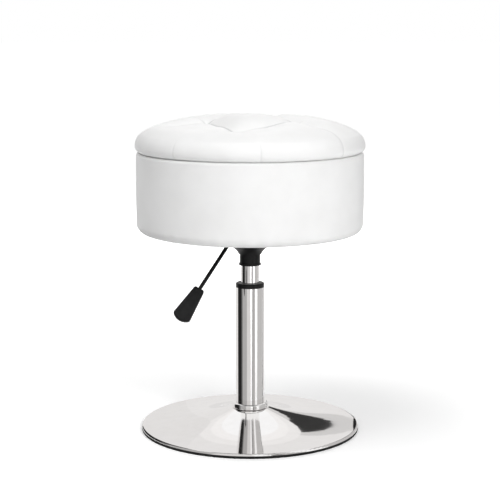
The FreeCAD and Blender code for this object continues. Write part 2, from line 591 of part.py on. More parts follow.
def make_seat_plate():
    plate = new_body("seat_plate")
    half = "(dims.plate_side / 2)"
    straight = f"({half} - dims.plate_corner)"
    outline = new_sketch(plate, "plate_outline", "XY_Plane", off=PLATE_UNDER)
    draw(outline, [
        (f"-{straight}", f"-{half}"), (straight, f"-{half}"), (half, f"-{straight}"), (half, straight),
        (straight, half), (f"-{straight}", half), (f"-{half}", straight), (f"-{half}", f"-{straight}")],
        {1: ("dims.plate_corner", 1), 3: ("dims.plate_corner", 1),
         5: ("dims.plate_corner", 1), 7: ("dims.plate_corner", 1)})
    draw_circle(outline, "0", "0", f"({PAN_MOUTH_R} - dims.plate_thickness / 2)")
    extrude(plate, "Pad", "plate_flange", outline, length="dims.plate_thickness")
    doc.recompute()

    socket_hole = f"({SOCKET_R} + dims.seating_gap)"
    turn_profile(plate, "Revolution", "plate_pan", [
        (socket_hole, PAN_UNDER), (PAN_FLOOR_R, PAN_UNDER), (PAN_MOUTH_R, PLATE_UNDER),
        (PAN_MOUTH_R, PLATE_TOP), (f"({PAN_MOUTH_R} - dims.plate_thickness)", PLATE_TOP),
        (f"({PAN_FLOOR_R} - dims.plate_thickness)", PAN_FLOOR), (socket_hole, PAN_FLOOR)])
    doc.recompute()

    slot = new_sketch(plate, "lever_slot", "YZ_Plane", off=PAN_MOUTH_R)
    side = f"({WIRE_R} + dims.slot_side)"
    low = f"({LEVER_Z} - {WIRE_R} - dims.slot_under)"
    high = f"({LEVER_Z} + {WIRE_R} + dims.slot_over)"
    draw(slot, [(f"-{side}", low), (side, low), (side, high), (f"-{side}", high)])
    extrude(plate, "Pocket", "lever_slot_cut", slot, length=f"({PAN_MOUTH_R} - {PAN_FLOOR_R} / 2)")
    doc.recompute()

    hole = new_sketch(plate, "bolt_hole", "XY_Plane")
    draw_circle(hole, "dims.bolt_spacing / 2", "dims.bolt_spacing / 2",
                "dims.bolt_diameter / 2 + dims.soft_gap")
    bolt_hole = extrude(plate, "Pocket", "bolt_hole_cut", hole, symmetric=True)
    doc.recompute()
    repeat_round(plate, bolt_hole, BOLT_COUNT)
    face_lever(plate)


def make_bell_cover():
    bell_bore = f"({SLEEVE_R} + dims.seating_gap)"
    bell = turned("bell_cover", [
        (bell_bore, BELL_BOTTOM), ("dims.bell_neck / 2", BELL_BOTTOM), ("dims.bell_waist / 2", BELL_WAIST),
        ("dims.bell_mouth / 2", PLATE_UNDER),
        (f"(dims.bell_mouth / 2 - dims.bell_wall * {BELL_SLOPE})", PLATE_UNDER),
        ("dims.bell_waist / 2", f"({BELL_WAIST} + dims.bell_wall)"),
        (bell_bore, f"({BELL_BOTTOM} + dims.bell_wall)")],
        {1: ("dims.bell_curve", -1), 5: ("dims.bell_curve", 1)})
    doc.recompute()
    notch = new_sketch(bell, "bell_notch_outline", "YZ_Plane", off="dims.bell_mouth / 2")
    half = "(dims.bell_notch / 2)"
    low = f"({LEVER_Z} - {WIRE_R} - dims.lever_bend / 2)"
    draw(notch, [(f"-{half}", low), (half, low), (half, PLATE_TOP), (f"-{half}", PLATE_TOP)])
    extrude(bell, "Pocket", "bell_notch_cut", notch, length=f"(dims.bell_mouth / 2 - {SLEEVE_R})")
    face_lever(bell)


def make_lever_mount():
    bracket = new_body("lever_bracket")
    section = new_sketch(bracket, "bracket_section", "YZ_Plane",
                         off="(dims.lever_pivot - dims.ear_length / 2)")
    floor = f"({PAN_FLOOR} + dims.bracket_floor)"
    top = f"({PAN_FLOOR} + dims.ear_height)"
    draw(section, [
        (f"-{EAR_OUTER}", PAN_FLOOR), (EAR_OUTER, PAN_FLOOR), (EAR_OUTER, top), (EAR_INNER, top),
        (EAR_INNER, floor), (f"-{EAR_INNER}", floor), (f"-{EAR_INNER}", top), (f"-{EAR_OUTER}", top)])
    extrude(bracket, "Pad", "bracket_ears", section, length="dims.ear_length")
    doc.recompute()
    eye = new_sketch(bracket, "bracket_eye", "XZ_Plane")
    draw_circle(eye, "dims.lever_pivot", LEVER_Z, "(dims.pivot_pin / 2 + dims.seating_gap)")
    extrude(bracket, "Pocket", "bracket_eye_cut", eye, symmetric=True)
    face_lever(bracket)

    pin = new_body("lever_pin")
    circle = new_sketch(pin, "pin_section", "XZ_Plane")
    draw_circle(circle, "dims.lever_pivot", LEVER_Z, "dims.pivot_pin / 2")
    extrude(pin, "Pad", "pin_length", circle, length=f"2 * ({EAR_OUTER} + dims.pin_head)", symmetric=True)
    face_lever(pin)


def make_lever():
    lever = new_body("lever_rod")
    path = new_sketch(lever, "lever_path", "XZ_Plane")
    tangent = "(dims.lever_bend * tan(dims.lever_drop / 2))"
    bend_end = (f"(dims.lever_corner + {tangent} * cos(dims.lever_drop))",
                f"({LEVER_Z} - {tangent} * sin(dims.lever_drop))")
    wire_end = ("(dims.lever_corner + dims.lever_arm * cos(dims.lever_drop))",
                f"({LEVER_Z} - dims.lever_arm * sin(dims.lever_drop))")
    draw(path, [("-dims.lever_overrun", LEVER_Z), (f"(dims.lever_corner - {tangent})", LEVER_Z),
                bend_end, wire_end], {1: ("dims.lever_bend", -1)}, closed=False)
    section = new_sketch(lever, "lever_section", "YZ_Plane", off="-dims.lever_overrun")
    draw_circle(section, "0", LEVER_Z, WIRE_R)
    wire = lever.newObject("PartDesign::AdditivePipe", "lever_wire")
    wire.Profile = section
    wire.Spine = (path, [])
    doc.recompute()
    boss = new_sketch(lever, "lever_boss", "XZ_Plane")
    draw_circle(boss, "dims.lever_pivot", LEVER_Z, "dims.pivot_boss / 2")
    extrude(lever, "Pad", "lever_boss_pad", boss, length="dims.boss_length", symmetric=True)
    doc.recompute()
    eye = new_sketch(lever, "lever_eye", "XZ_Plane")
    draw_circle(eye, "dims.lever_pivot", LEVER_Z, "(dims.pivot_pin / 2 + dims.running_fit)")
    extrude(lever, "Pocket", "lever_eye_cut", eye, symmetric=True)
    face_lever(lever)


# Run below which an edge counts as upright or level
FLAT = 1e-3


def is_upright(edge):
    return edge.BoundBox.XLength + edge.BoundBox.YLength < FLAT


def is_level(edge):
    return edge.BoundBox.ZLength < FLAT


def round_edges(body, feature, name, radius, wanted):
    """Fillet on the edges of a feature that the test wanted picks."""
    picked = [f"Edge{index}" for index, edge in enumerate(feature.Shape.Edges, start=1) if wanted(edge)]
    rounding = body.newObject("PartDesign::Fillet", name)
    rounding.Base = (feature, picked)
    rounding.setExpression("Radius", radius)
    body.Tip = rounding
    doc.recompute()
    return rounding


def make_handle():
    """Flat paddle along its own +X, pushed on the end of the wire."""
    grip = new_body("lever_handle")
    outline = new_sketch(grip, "grip_outline", "XY_Plane")
    inner = "(dims.handle_inner / 2)"
    outer = "(dims.handle_outer / 2)"
    bulge = f"(dims.handle_end - sqrt(dims.handle_end^2 - {outer}^2))"
    shoulder = f"(dims.handle_length - {bulge})"
    draw(outline, [("0", f"-{inner}"), (shoulder, f"-{outer}"), (shoulder, outer), ("0", inner)],
         {1: ("dims.handle_end", 1), 3: ("dims.handle_notch", -1)})
    pad = extrude(grip, "Pad", "grip_pad", outline, length="dims.handle_thickness", symmetric=True)
    doc.recompute()
    corners = round_edges(grip, pad, "grip_corners", "dims.handle_corner", is_upright)
    round_edges(grip, corners, "grip_rims", "dims.handle_edge", is_level)
    mouth = new_sketch(grip, "grip_bore", "YZ_Plane")
    draw_circle(mouth, "0", "0", f"({WIRE_R} + dims.seating_gap)")
    extrude(grip, "Pocket", "grip_bore_cut", mouth, length="dims.handle_bore", backwards=True)

    drop = number("dims.lever_drop")
    along = number("dims.handle_start")
    radial = number("dims.lever_corner") + along * math.cos(math.radians(drop))
    height = number(LEVER_Z) - along * math.sin(math.radians(drop))
    twist = Rotation(Vector(1, 0, 0), number("dims.handle_twist"))
    slope = Rotation(Vector(0, 1, 0), drop)
    azimuth = Rotation(Vector(0, 0, 1), number("dims.lever_azimuth"))
    place = azimuth.multVec(Vector(radial, 0, height))
    grip.Placement = Placement(place, azimuth.multiply(slope).multiply(twist))


def make_fasteners():
    bolt_r = "(dims.bolt_diameter / 2)"
    washer_under = f"({PLATE_UNDER} - dims.washer_thickness)"
    head_under = f"({washer_under} - dims.bolt_head_height)"
    key_end = f"({head_under} + dims.bolt_key_depth)"
    bolt_end = f"({washer_under} + dims.bolt_length)"
    bolts = scattered("plate_bolts", [
        ("0", key_end), ("dims.bolt_key", key_end), ("dims.bolt_key", head_under),
        ("dims.bolt_head / 2", head_under), ("dims.bolt_head / 2", washer_under),
        (bolt_r, washer_under), (bolt_r, bolt_end), ("0", bolt_end)], None, BOLT_CIRCLE, BOLT_COUNT)
    face_bolts(bolts)

    washer_bore = f"({bolt_r} + dims.soft_gap)"
    washers = scattered("plate_washers", [
        (washer_bore, washer_under), ("dims.washer_diameter / 2", washer_under),
        ("dims.washer_diameter / 2", PLATE_UNDER), (washer_bore, PLATE_UNDER)], None, BOLT_CIRCLE, BOLT_COUNT)
    face_bolts(washers)

    nut_bore = f"({bolt_r} + dims.seating_gap)"
    barrel_r = "(dims.nut_barrel / 2)"
    flange_r = "(dims.nut_flange / 2)"
    nut_top = f"({BOARD_TOP} + dims.nut_flange_thickness)"
    nut_bottom = f"({BOARD_TOP} - dims.nut_length)"
    nuts = scattered("tee_nuts", [
        (nut_bore, nut_bottom), (barrel_r, nut_bottom), (barrel_r, BOARD_TOP), (flange_r, BOARD_TOP),
        (flange_r, nut_top), (nut_bore, nut_top)], None, BOLT_CIRCLE, BOLT_COUNT)
    face_bolts(nuts)


def make_drum():
    bottom = turned("drum_bottom", [
        ("0", BOARD_UNDER), (f"({WALL_OUTER_R} - dims.floor_round)", BOARD_UNDER),
        (WALL_OUTER_R, f"({BOARD_UNDER} + dims.floor_round)"), (WALL_OUTER_R, BOARD_TOP), ("0", BOARD_TOP)],
        {1: ("dims.floor_round", 1)})
    doc.recompute()
    drill_round(bottom, "nut_hole", "(dims.nut_barrel / 2 + dims.seating_gap)", BOLT_CIRCLE, BOLT_COUNT)
    face_bolts(bottom)

    ring("drum_wall", WALL_INNER_R, WALL_OUTER_R, BOARD_TOP, WALL_TOP)
    padding_top = f"({DRUM_TOP} - dims.drum_brim - dims.padding_short)"
    ring("side_padding", f"({WALL_OUTER_R} + dims.soft_gap)", PADDING_R,
         "(dims.seat_bottom + dims.drum_edge)", padding_top)

    edge_r = f"({DRUM_R} - dims.drum_edge)"
    edge_z = "(dims.seat_bottom + dims.drum_edge)"
    brim_r = f"({DRUM_R} - dims.drum_brim)"
    brim_z = f"({DRUM_TOP} - dims.drum_brim)"
    inner_edge = "(dims.drum_edge - dims.skin)"
    inner_brim = "(dims.drum_brim - dims.skin)"
    turned("drum_cover", [
        (TURN_UNDER_R, "dims.seat_bottom"), (edge_r, "dims.seat_bottom"), (DRUM_R, edge_z), (DRUM_R, brim_z),
        (brim_r, DRUM_TOP), (WALL_INNER_R, DRUM_TOP), (WALL_INNER_R, WALL_TOP), (brim_r, WALL_TOP),
        (SKIN_INNER_R, brim_z), (SKIN_INNER_R, edge_z), (edge_r, BOARD_UNDER), (TURN_UNDER_R, BOARD_UNDER)],
        {1: ("dims.drum_edge", 1), 3: ("dims.drum_brim", 1), 7: (inner_brim, -1), 9: (inner_edge, -1)})

    lining_top = f"({LINING_UNDER} + dims.lining)"
    turned("drum_lining", [
        ("0", LINING_UNDER), (LINING_OUTER_R, LINING_UNDER), (LINING_OUTER_R, WALL_TOP),
        (LINING_INNER_R, WALL_TOP), (LINING_INNER_R, lining_top), ("0", lining_top)])

    dust = ring("dust_cover", PAN_MOUTH_R, f"({TURN_UNDER_R} - dims.soft_gap)", PLATE_TOP, BOARD_UNDER)
    doc.recompute()
    drill_round(dust, "dust_hole", "(dims.bolt_diameter / 2 + dims.soft_gap)", BOLT_CIRCLE, BOLT_COUNT)
    face_bolts(dust)


def crown_height(radius):
    """Height of the lid's crown over a radius from its axis, before it is tufted."""
    top_curve = number(TOP_CURVE)
    if radius <= number(SHOULDER_END_R):
        return number(CROWN_TOP) - top_curve + math.sqrt(top_curve ** 2 - radius ** 2)
    shoulder = number("dims.crown_shoulder")
    turn = math.radians(number("dims.crown_side_turn"))
    if radius <= number(SIDE_END_R):
        centre_r = number(SIDE_END_R) - shoulder * math.cos(turn)
        centre_z = number(SIDE_END) - shoulder * math.sin(turn)
        return centre_z + math.sqrt(shoulder ** 2 - (radius - centre_r) ** 2)
    side = number("dims.crown_side")
    centre_r = number(LID_R) - side
    return number(LID_WIDEST) + math.sqrt(max(side ** 2 - (radius - centre_r) ** 2, 0))


def fold_section(place, along, upward, half_width, depth):
    """Pointed groove profile across a fold: two arcs that meet at its bottom, closed by a line on top."""
    along = Vector(along).normalize()
    upward = (upward - along * upward.dot(along)).normalize()
    sideways = along.cross(upward)
    rise = number("dims.fold_rise")
    curve = (half_width ** 2 + (depth + rise) ** 2) / (2 * (depth + rise))
    spread = math.asin(half_width / curve) / 2
    edges = []
    corners = []
    for side in (-1, 1):
        rim = place + sideways * (side * half_width) + upward * rise
        middle = (place + sideways * (side * (half_width - curve * math.sin(spread)))
                  + upward * (rise - curve + curve * math.cos(spread)))
        corners.append((rim, middle))
    bottom = place - upward * depth
    (left, left_middle), (right, right_middle) = corners
    edges.append(Part.Arc(left, left_middle, bottom).toShape())
    edges.append(Part.Arc(bottom, right_middle, right).toShape())
    edges.append(Part.makeLine(right, left))
    return Part.Wire(edges)


def crown_point(radius, angle):
    return Vector(radius * math.cos(angle), radius * math.sin(angle), crown_height(radius))


def crown_normal(radius, angle):
    step = 0.5
    slope = (crown_height(radius - step) - crown_height(radius)) / step
    return Vector(slope * math.cos(angle), slope * math.sin(angle), 1).normalize()


def fold_loft(stations):
    """Groove along the crown through stations of (radius, angle, half width, depth)."""
    places = [crown_point(radius, angle) for radius, angle, _, _ in stations]
    wires = []
    for index, (radius, angle, half_width, depth) in enumerate(stations):
        before = places[max(index - 1, 0)]
        after = places[min(index + 1, len(places) - 1)]
        upward = crown_normal(radius, angle)
        wires.append(fold_section(places[index], after - before, upward, half_width, depth))
    return Part.makeLoft(wires, True, False)


def tuft_dimple(tuft_r):
    """Pointed dimple around a tuft on +X."""
    width = number("dims.tuft_width")
    rise = number("dims.fold_rise")
    depth = number("dims.tuft_depth")
    rim = crown_height(tuft_r) + rise
    bottom = rim - rise - depth
    curve = (width ** 2 + (depth + rise) ** 2) / (2 * (depth + rise))
    spread = math.asin(width / curve) / 2
    middle = Vector(tuft_r + width - curve * math.sin(spread), 0, rim - curve + curve * math.cos(spread))
    low = Vector(tuft_r, 0, bottom)
    high = Vector(tuft_r + width, 0, rim)
    top = Vector(tuft_r, 0, rim)
    side = Part.Arc(low, middle, high).toShape()
    outline = Part.Wire([side, Part.makeLine(high, top), Part.makeLine(top, low)])
    return Part.Face(outline).revolve(top, Vector(0, 0, 1), 360)


def tuft_tools():
    """Dimples and folds that the sewn tufts draw into the crown, with the first tuft on +X."""
    count = int(number("dims.tuft_count"))
    pitch = 2 * math.pi / count
    tuft_r = number(TUFT_R)
    width = number("dims.fold_width")
    start = number("dims.fold_start")
    depth = number("dims.fold_depth")
    end_width = number("dims.fold_end_width")
    end_r = number(f"({LID_R} - dims.fold_end_inset)")
    between = fold_loft([
        (tuft_r, 0, width, start),
        (tuft_r * math.cos(pitch / 2), pitch / 2, width, depth),
        (tuft_r, pitch, width, start)])
    tools = [tuft_dimple(tuft_r), between]
    for side in (-1, 1):
        spread = side * pitch / 4
        tools.append(fold_loft([
            (tuft_r, 0, width, start),
            ((tuft_r + end_r) / 2, spread * number("dims.fold_sweep"), (width + end_width) / 2, depth),
            (end_r, spread, end_width, -number("dims.fold_end_rise"))]))
    copies = []
    for index in range(count):
        for tool in tools:
            copy = tool.copy()
            copy.rotate(Vector(), Vector(0, 0, 1), math.degrees(pitch) * index)
            copies.append(copy)
    return copies


def make_lid():
    crown = turned("lid_crown", [
        (LID_TURN_R, LID_BOTTOM), (LID_UNDER_R, LID_BOTTOM), (LID_R, LID_WIDEST), (SIDE_END_R, SIDE_END),
        (SHOULDER_END_R, SHOULDER_END), ("0", CROWN_TOP), ("0", f"({CORE_TOP} + dims.soft_gap)"),
        (f"({CORE_R} - dims.core_round)", f"({CORE_TOP} + dims.soft_gap)"),
        (f"({CORE_R} + dims.soft_gap)", f"({CORE_TOP} - dims.core_round)"),
        (f"({CORE_R} + dims.soft_gap)", LID_BOARD_TOP), (f"({LID_BOARD_R} + dims.soft_gap)", LID_BOARD_TOP),
        (f"({LID_BOARD_R} + dims.soft_gap)", LID_BOARD_UNDER), (LID_TURN_R, LID_BOARD_UNDER)],
        {1: ("dims.lid_lip", 1), 2: ("dims.crown_side", 1), 3: ("dims.crown_shoulder", 1), 4: (TOP_CURVE, 1),
         7: ("(dims.core_round + dims.soft_gap)", -1)})
    doc.recompute()
    tufted = crown.Shape
    for tool in tuft_tools():
        tufted = tufted.cut(tool)
    cover = doc.addObject("Part::Feature", "lid_cover")
    cover.Label = "lid_cover"
    cover.Shape = tufted
    cover.Placement = Placement(Vector(), Rotation(Vector(0, 0, 1), number("dims.tuft_azimuth")))

    foam_under = f"({LID_BOARD_TOP} + dims.soft_gap)"
    turned("lid_foam", [
        ("0", foam_under), (CORE_R, foam_under), (CORE_R, f"({CORE_TOP} - dims.core_round)"),
        (f"({CORE_R} - dims.core_round)", CORE_TOP), ("0", CORE_TOP)], {2: ("dims.core_round", 1)})

    screw_r = "(dims.screw_diameter / 2)"
    screw_hole = f"({screw_r} + dims.seating_gap)"
    head_r = "(dims.screw_head / 2)"
    sink = f"({head_r} - {screw_r})"
    board = turned("lid_board", [
        ("0", LID_BOARD_UNDER), (LID_BOARD_R, LID_BOARD_UNDER), (LID_BOARD_R, LID_BOARD_TOP),
        ("0", LID_BOARD_TOP)])
    doc.recompute()
    drill_round(board, "board_hole", screw_hole, SCREW_CIRCLE, "dims.screw_count")

    locator = turned("lid_locator", [
        ("0", LOCATOR_UNDER), (LOCATOR_R, LOCATOR_UNDER), (LOCATOR_R, LID_BOTTOM), ("0", LID_BOTTOM)])
    doc.recompute()
    sink_hole = turn_profile(locator, "Groove", "locator_hole", [
        ("0", LOCATOR_UNDER), (f"({head_r} + dims.seating_gap)", LOCATOR_UNDER),
        (screw_hole, f"({LOCATOR_UNDER} + {sink})"), (screw_hole, LID_BOTTOM), ("0", LID_BOTTOM)],
        axis_at=f"({SCREW_CIRCLE} / 2)")
    doc.recompute()
    repeat_round(locator, sink_hole, "dims.screw_count")

    screw_top = f"({LOCATOR_UNDER} + dims.screw_length)"
    scattered("lid_screws", [
        ("0", LOCATOR_UNDER), (head_r, LOCATOR_UNDER), (screw_r, f"({LOCATOR_UNDER} + {sink})"),
        (screw_r, f"({screw_top} - {screw_r})"), ("0", screw_top)],
        None, SCREW_CIRCLE, "dims.screw_count")


NODES = [
    "floor_ring", "base_dish", "hub_socket", "collar_ring", "column_tube", "guide_bush", "column_plug",
    "lower_race", "bearing_balls",
    "piston_rod", "rod_clip", "upper_race", "bump_stop", "piston_head", "piston_seal",
    "gas_cylinder", "rod_gland", "taper_socket", "neck_sleeve", "bell_cover", "seat_plate", "lever_bracket",
    "lever_pin", "plate_bolts", "plate_washers", "tee_nuts", "dust_cover", "drum_bottom", "drum_wall",
    "side_padding", "drum_cover", "drum_lining",
    "lever_rod", "lever_handle",
    "valve_pin",
    "lid_cover", "lid_foam", "lid_board", "lid_locator", "lid_screws",
]

make_base()
make_piston()
make_gas_cylinder()
make_seat_plate()
make_bell_cover()
make_lever_mount()
make_lever()
make_handle()
make_fasteners()
make_drum()
make_lid()
doc.recompute()

for item in doc.Objects:
    if {"Invalid", "Error"} & set(item.State):
        raise RuntimeError(f"{item.Label} did not build: {item.State}")
os.makedirs("parts", exist_ok=True)
for label in NODES:
    piece = doc.getObjectsByLabel(label)[0]
    if piece.Shape.isNull() or not piece.Shape.isValid():
        raise RuntimeError(f"{label} has no valid shape")
    piece.Shape.exportStep(f"parts/{label}.step")
    print(f"{label}: {len(piece.Shape.Solids)} solids, {piece.Shape.Volume / 1000:.2f} cm3")
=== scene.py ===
"""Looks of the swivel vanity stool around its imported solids. Metres, +Z up, -Y towards the camera."""
import json
import math

import bmesh
import bpy
import numpy as np
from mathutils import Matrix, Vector

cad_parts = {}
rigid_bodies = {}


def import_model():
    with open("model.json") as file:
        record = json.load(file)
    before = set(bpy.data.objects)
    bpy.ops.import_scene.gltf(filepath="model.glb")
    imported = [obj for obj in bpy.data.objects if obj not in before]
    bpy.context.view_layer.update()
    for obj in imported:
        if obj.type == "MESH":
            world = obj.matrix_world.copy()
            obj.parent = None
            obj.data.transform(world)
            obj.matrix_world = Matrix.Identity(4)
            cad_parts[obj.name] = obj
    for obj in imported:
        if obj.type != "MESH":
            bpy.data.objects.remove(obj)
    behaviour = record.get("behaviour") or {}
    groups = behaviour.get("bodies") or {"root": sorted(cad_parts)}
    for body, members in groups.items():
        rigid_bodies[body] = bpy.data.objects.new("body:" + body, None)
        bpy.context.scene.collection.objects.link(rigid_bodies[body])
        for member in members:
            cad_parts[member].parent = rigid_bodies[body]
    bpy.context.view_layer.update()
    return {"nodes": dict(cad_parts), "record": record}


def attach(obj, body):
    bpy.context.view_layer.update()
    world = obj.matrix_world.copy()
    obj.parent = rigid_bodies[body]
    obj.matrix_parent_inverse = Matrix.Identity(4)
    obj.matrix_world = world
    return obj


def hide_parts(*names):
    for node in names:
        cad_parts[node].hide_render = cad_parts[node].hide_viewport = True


MM = 0.001
FULL_TURN = 2 * math.pi

for item in list(bpy.data.objects):
    bpy.data.objects.remove(item)
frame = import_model()
NODES = frame["nodes"]


# Node materials

NOISE_SPAN = (0.3, 0.7)
TONE_DETAIL = 4
GRAIN_DETAIL = 2
# Colour sockets of a Mix node
MIX_FIRST, MIX_SECOND, MIX_RESULT = 6, 7, 2


def new_material(name):
    """Empty node material: (material, node tree, shader)."""
    material = bpy.data.materials.new(name)
    material.use_nodes = True
    tree = material.node_tree
    return material, tree, tree.nodes["Principled BSDF"]


def add(tree, kind, settings=None, **sockets):
    """New node with plain settings and socket values."""
    node = tree.nodes.new(kind)
    for key, value in (settings or {}).items():
        setattr(node, key, value)
    for key, value in sockets.items():
        node.inputs[key.replace("_", " ")].default_value = value
    return node


def place(tree, scale=(1, 1, 1)):
    """Object coordinates, stretched: the pattern stays on the piece in every pose."""
    coordinates = tree.nodes.new("ShaderNodeTexCoord")
    mapping = add(tree, "ShaderNodeMapping", Scale=scale)
    tree.links.new(coordinates.outputs["Object"], mapping.inputs["Vector"])
    return mapping.outputs["Vector"]


def noise(tree, scale, detail=3, stretch=(1, 1, 1)):
    texture = add(tree, "ShaderNodeTexNoise", Scale=scale, Detail=detail)
    tree.links.new(place(tree, stretch), texture.inputs["Vector"])
    return texture.outputs["Fac"]


def cells(tree, scale):
    texture = add(tree, "ShaderNodeTexVoronoi", {"feature": "SMOOTH_F1"}, Scale=scale)
    tree.links.new(place(tree), texture.inputs["Vector"])
    return texture.outputs["Distance"]


def spread(tree, source, low, high, start=NOISE_SPAN[0], end=NOISE_SPAN[1]):
    """Maps a texture's useful span to the values from low to high."""
    node = tree.nodes.new("ShaderNodeMapRange")
    for socket, value in (("From Min", start), ("From Max", end), ("To Min", low), ("To Max", high)):
        node.inputs[socket].default_value = value
    tree.links.new(source, node.inputs["Value"])
    return node.outputs["Result"]


def ramp(tree, source, stops):
    """Colour ramp from (position, colour) stops."""
    node = tree.nodes.new("ShaderNodeValToRGB")
    elements = node.color_ramp.elements
    while len(elements) < len(stops):
        elements.new(0.5)
    for element, (position, colour) in zip(elements, stops):
        element.position = position
        element.color = (*colour, 1)
    tree.links.new(source, node.inputs["Fac"])
    return node.outputs["Color"]


def tones(tree, source, dark, light, span=NOISE_SPAN):
    """Colour from dark to light over a texture's useful span."""
    return ramp(tree, source, list(zip(span, (dark, light))))


def bump(tree, shader, heights):
    """Chain of bumps from (height output, strength, distance)."""
    normal = None
    for height, strength, distance in heights:
        node = add(tree, "ShaderNodeBump", Strength=strength, Distance=distance)
        tree.links.new(height, node.inputs["Height"])
        if normal is not None:
            tree.links.new(normal, node.inputs["Normal"])
        normal = node.outputs["Normal"]
    tree.links.new(normal, shader.inputs["Normal"])


def metal(name, dark, light, rough, stretch=(1, 1, 1), scale=60, grain=None):
    """Polished or satin metal with faint smears in tone and gloss."""
    material, tree, shader = new_material(name)
    shader.inputs["Metallic"].default_value = 1
    smears = noise(tree, scale, TONE_DETAIL, stretch)
    tree.links.new(tones(tree, smears, dark, light), shader.inputs["Base Color"])
    tree.links.new(spread(tree, smears, *rough), shader.inputs["Roughness"])
    if grain:
        grain_scale, strength, depth = grain
        bump(tree, shader, [(noise(tree, grain_scale, GRAIN_DETAIL, stretch), strength, depth)])
    return material


SKIN_SCALE = 18
SKIN_DARK = (0.885, 0.884, 0.88)
SKIN_LIGHT = (0.925, 0.925, 0.922)
# Painted shade: grey mixed into the tufted cover along its crease lines and in its tuft dimples
PAINTED_CREASE_SHADE_TONE = (0.6, 0.6, 0.604, 1)
SHEEN_SCALE = 45
SKIN_ROUGH = (0.42, 0.52)
SKIN_GLOSS = 0.4
PEBBLE_SCALE = 850
PEBBLE_STRENGTH = 0.22
PEBBLE_DEPTH = 0.25 * MM
PORE_SCALE = 2600
PORE_STRENGTH = 0.15
PORE_DEPTH = 0.1 * MM


def leatherette(name, with_painted_crease_shade=False):
    """White coated cloth: pebbled grain, faint tone and gloss changes; on the tufted cover, painted shade
    greyed into the creases and tuft dimples.
    """
    material, tree, shader = new_material(name)
    colour = tones(tree, noise(tree, SKIN_SCALE, TONE_DETAIL), SKIN_DARK, SKIN_LIGHT)
    if with_painted_crease_shade:
        # Painted shade: the crease attribute greys the colour where the cover folds and dimples
        painted_crease_shade = add(tree, "ShaderNodeAttribute", {"attribute_name": "painted_crease_shade"})
        mix = add(tree, "ShaderNodeMix", {"data_type": "RGBA"})
        tree.links.new(painted_crease_shade.outputs["Fac"], mix.inputs["Factor"])
        tree.links.new(colour, mix.inputs[MIX_FIRST])
        mix.inputs[MIX_SECOND].default_value = PAINTED_CREASE_SHADE_TONE
        colour = mix.outputs[MIX_RESULT]
    tree.links.new(colour, shader.inputs["Base Color"])
    tree.links.new(spread(tree, noise(tree, SHEEN_SCALE), *SKIN_ROUGH), shader.inputs["Roughness"])
    shader.inputs["Specular IOR Level"].default_value = SKIN_GLOSS
    pebbles = cells(tree, PEBBLE_SCALE)
    pores = noise(tree, PORE_SCALE, GRAIN_DETAIL)
    bump(tree, shader, [(pebbles, PEBBLE_STRENGTH, PEBBLE_DEPTH), (pores, PORE_STRENGTH, PORE_DEPTH)])
    return material


def plain(name, dark, light, rough, scale, grain, gloss=0.5):
    """Moulded, coated or rubbed surface: fine grain with small tone and gloss changes."""
    material, tree, shader = new_material(name)
    shader.inputs["Specular IOR Level"].default_value = gloss
    patches = noise(tree, scale, TONE_DETAIL)
    tree.links.new(tones(tree, patches, dark, light), shader.inputs["Base Color"])
    tree.links.new(spread(tree, patches, *rough), shader.inputs["Roughness"])
    grain_scale, strength, depth = grain
    bump(tree, shader, [(noise(tree, grain_scale, GRAIN_DETAIL), strength, depth)])
    return material


PLY_SCALE = 105
PLY_WAVER = 0.6
PLY_SPAN = (0.25, 0.6)
PLY_DARK = (0.48, 0.33, 0.20)
PLY_LIGHT = (0.74, 0.58, 0.40)
WOOD_SCALE = 30
WOOD_DETAIL = 5
WOOD_STRETCH = (0.6, 9, 9)
WOOD_DARK = (0.72, 0.68, 0.62)
WOOD_LIGHT = (1, 1, 1)
WOOD_SHARE = 0.8
WOOD_ROUGH = (0.55, 0.75)
WOOD_STRENGTH = 0.2
WOOD_DEPTH = 0.3 * MM


def birch_ply():
    """Raw birch plywood: plies across the thickness and a faint grain along the face."""
    material, tree, shader = new_material("birch_ply")
    plies = add(tree, "ShaderNodeTexWave", {"wave_type": "BANDS", "bands_direction": "Z"},
                Scale=PLY_SCALE, Distortion=PLY_WAVER, Detail=2)
    tree.links.new(place(tree), plies.inputs["Vector"])
    grain = noise(tree, WOOD_SCALE, WOOD_DETAIL, WOOD_STRETCH)
    layers = tones(tree, plies.outputs["Fac"], PLY_DARK, PLY_LIGHT, PLY_SPAN)
    streaks = tones(tree, grain, WOOD_DARK, WOOD_LIGHT)
    mix = add(tree, "ShaderNodeMix", {"data_type": "RGBA", "blend_type": "MULTIPLY"}, Factor=WOOD_SHARE)
    tree.links.new(layers, mix.inputs[MIX_FIRST])
    tree.links.new(streaks, mix.inputs[MIX_SECOND])
    tree.links.new(mix.outputs[MIX_RESULT], shader.inputs["Base Color"])
    tree.links.new(spread(tree, grain, *WOOD_ROUGH), shader.inputs["Roughness"])
    bump(tree, shader, [(grain, WOOD_STRENGTH, WOOD_DEPTH)])
    return material


WEAVE_WAVER = 0.4
WEAVE_SPAN = (0.1, 0.7)
WEAVE_STRENGTH = 0.5
CLOTH_SCALE = 120
CLOTH_ROUGH = (0.8, 0.95)


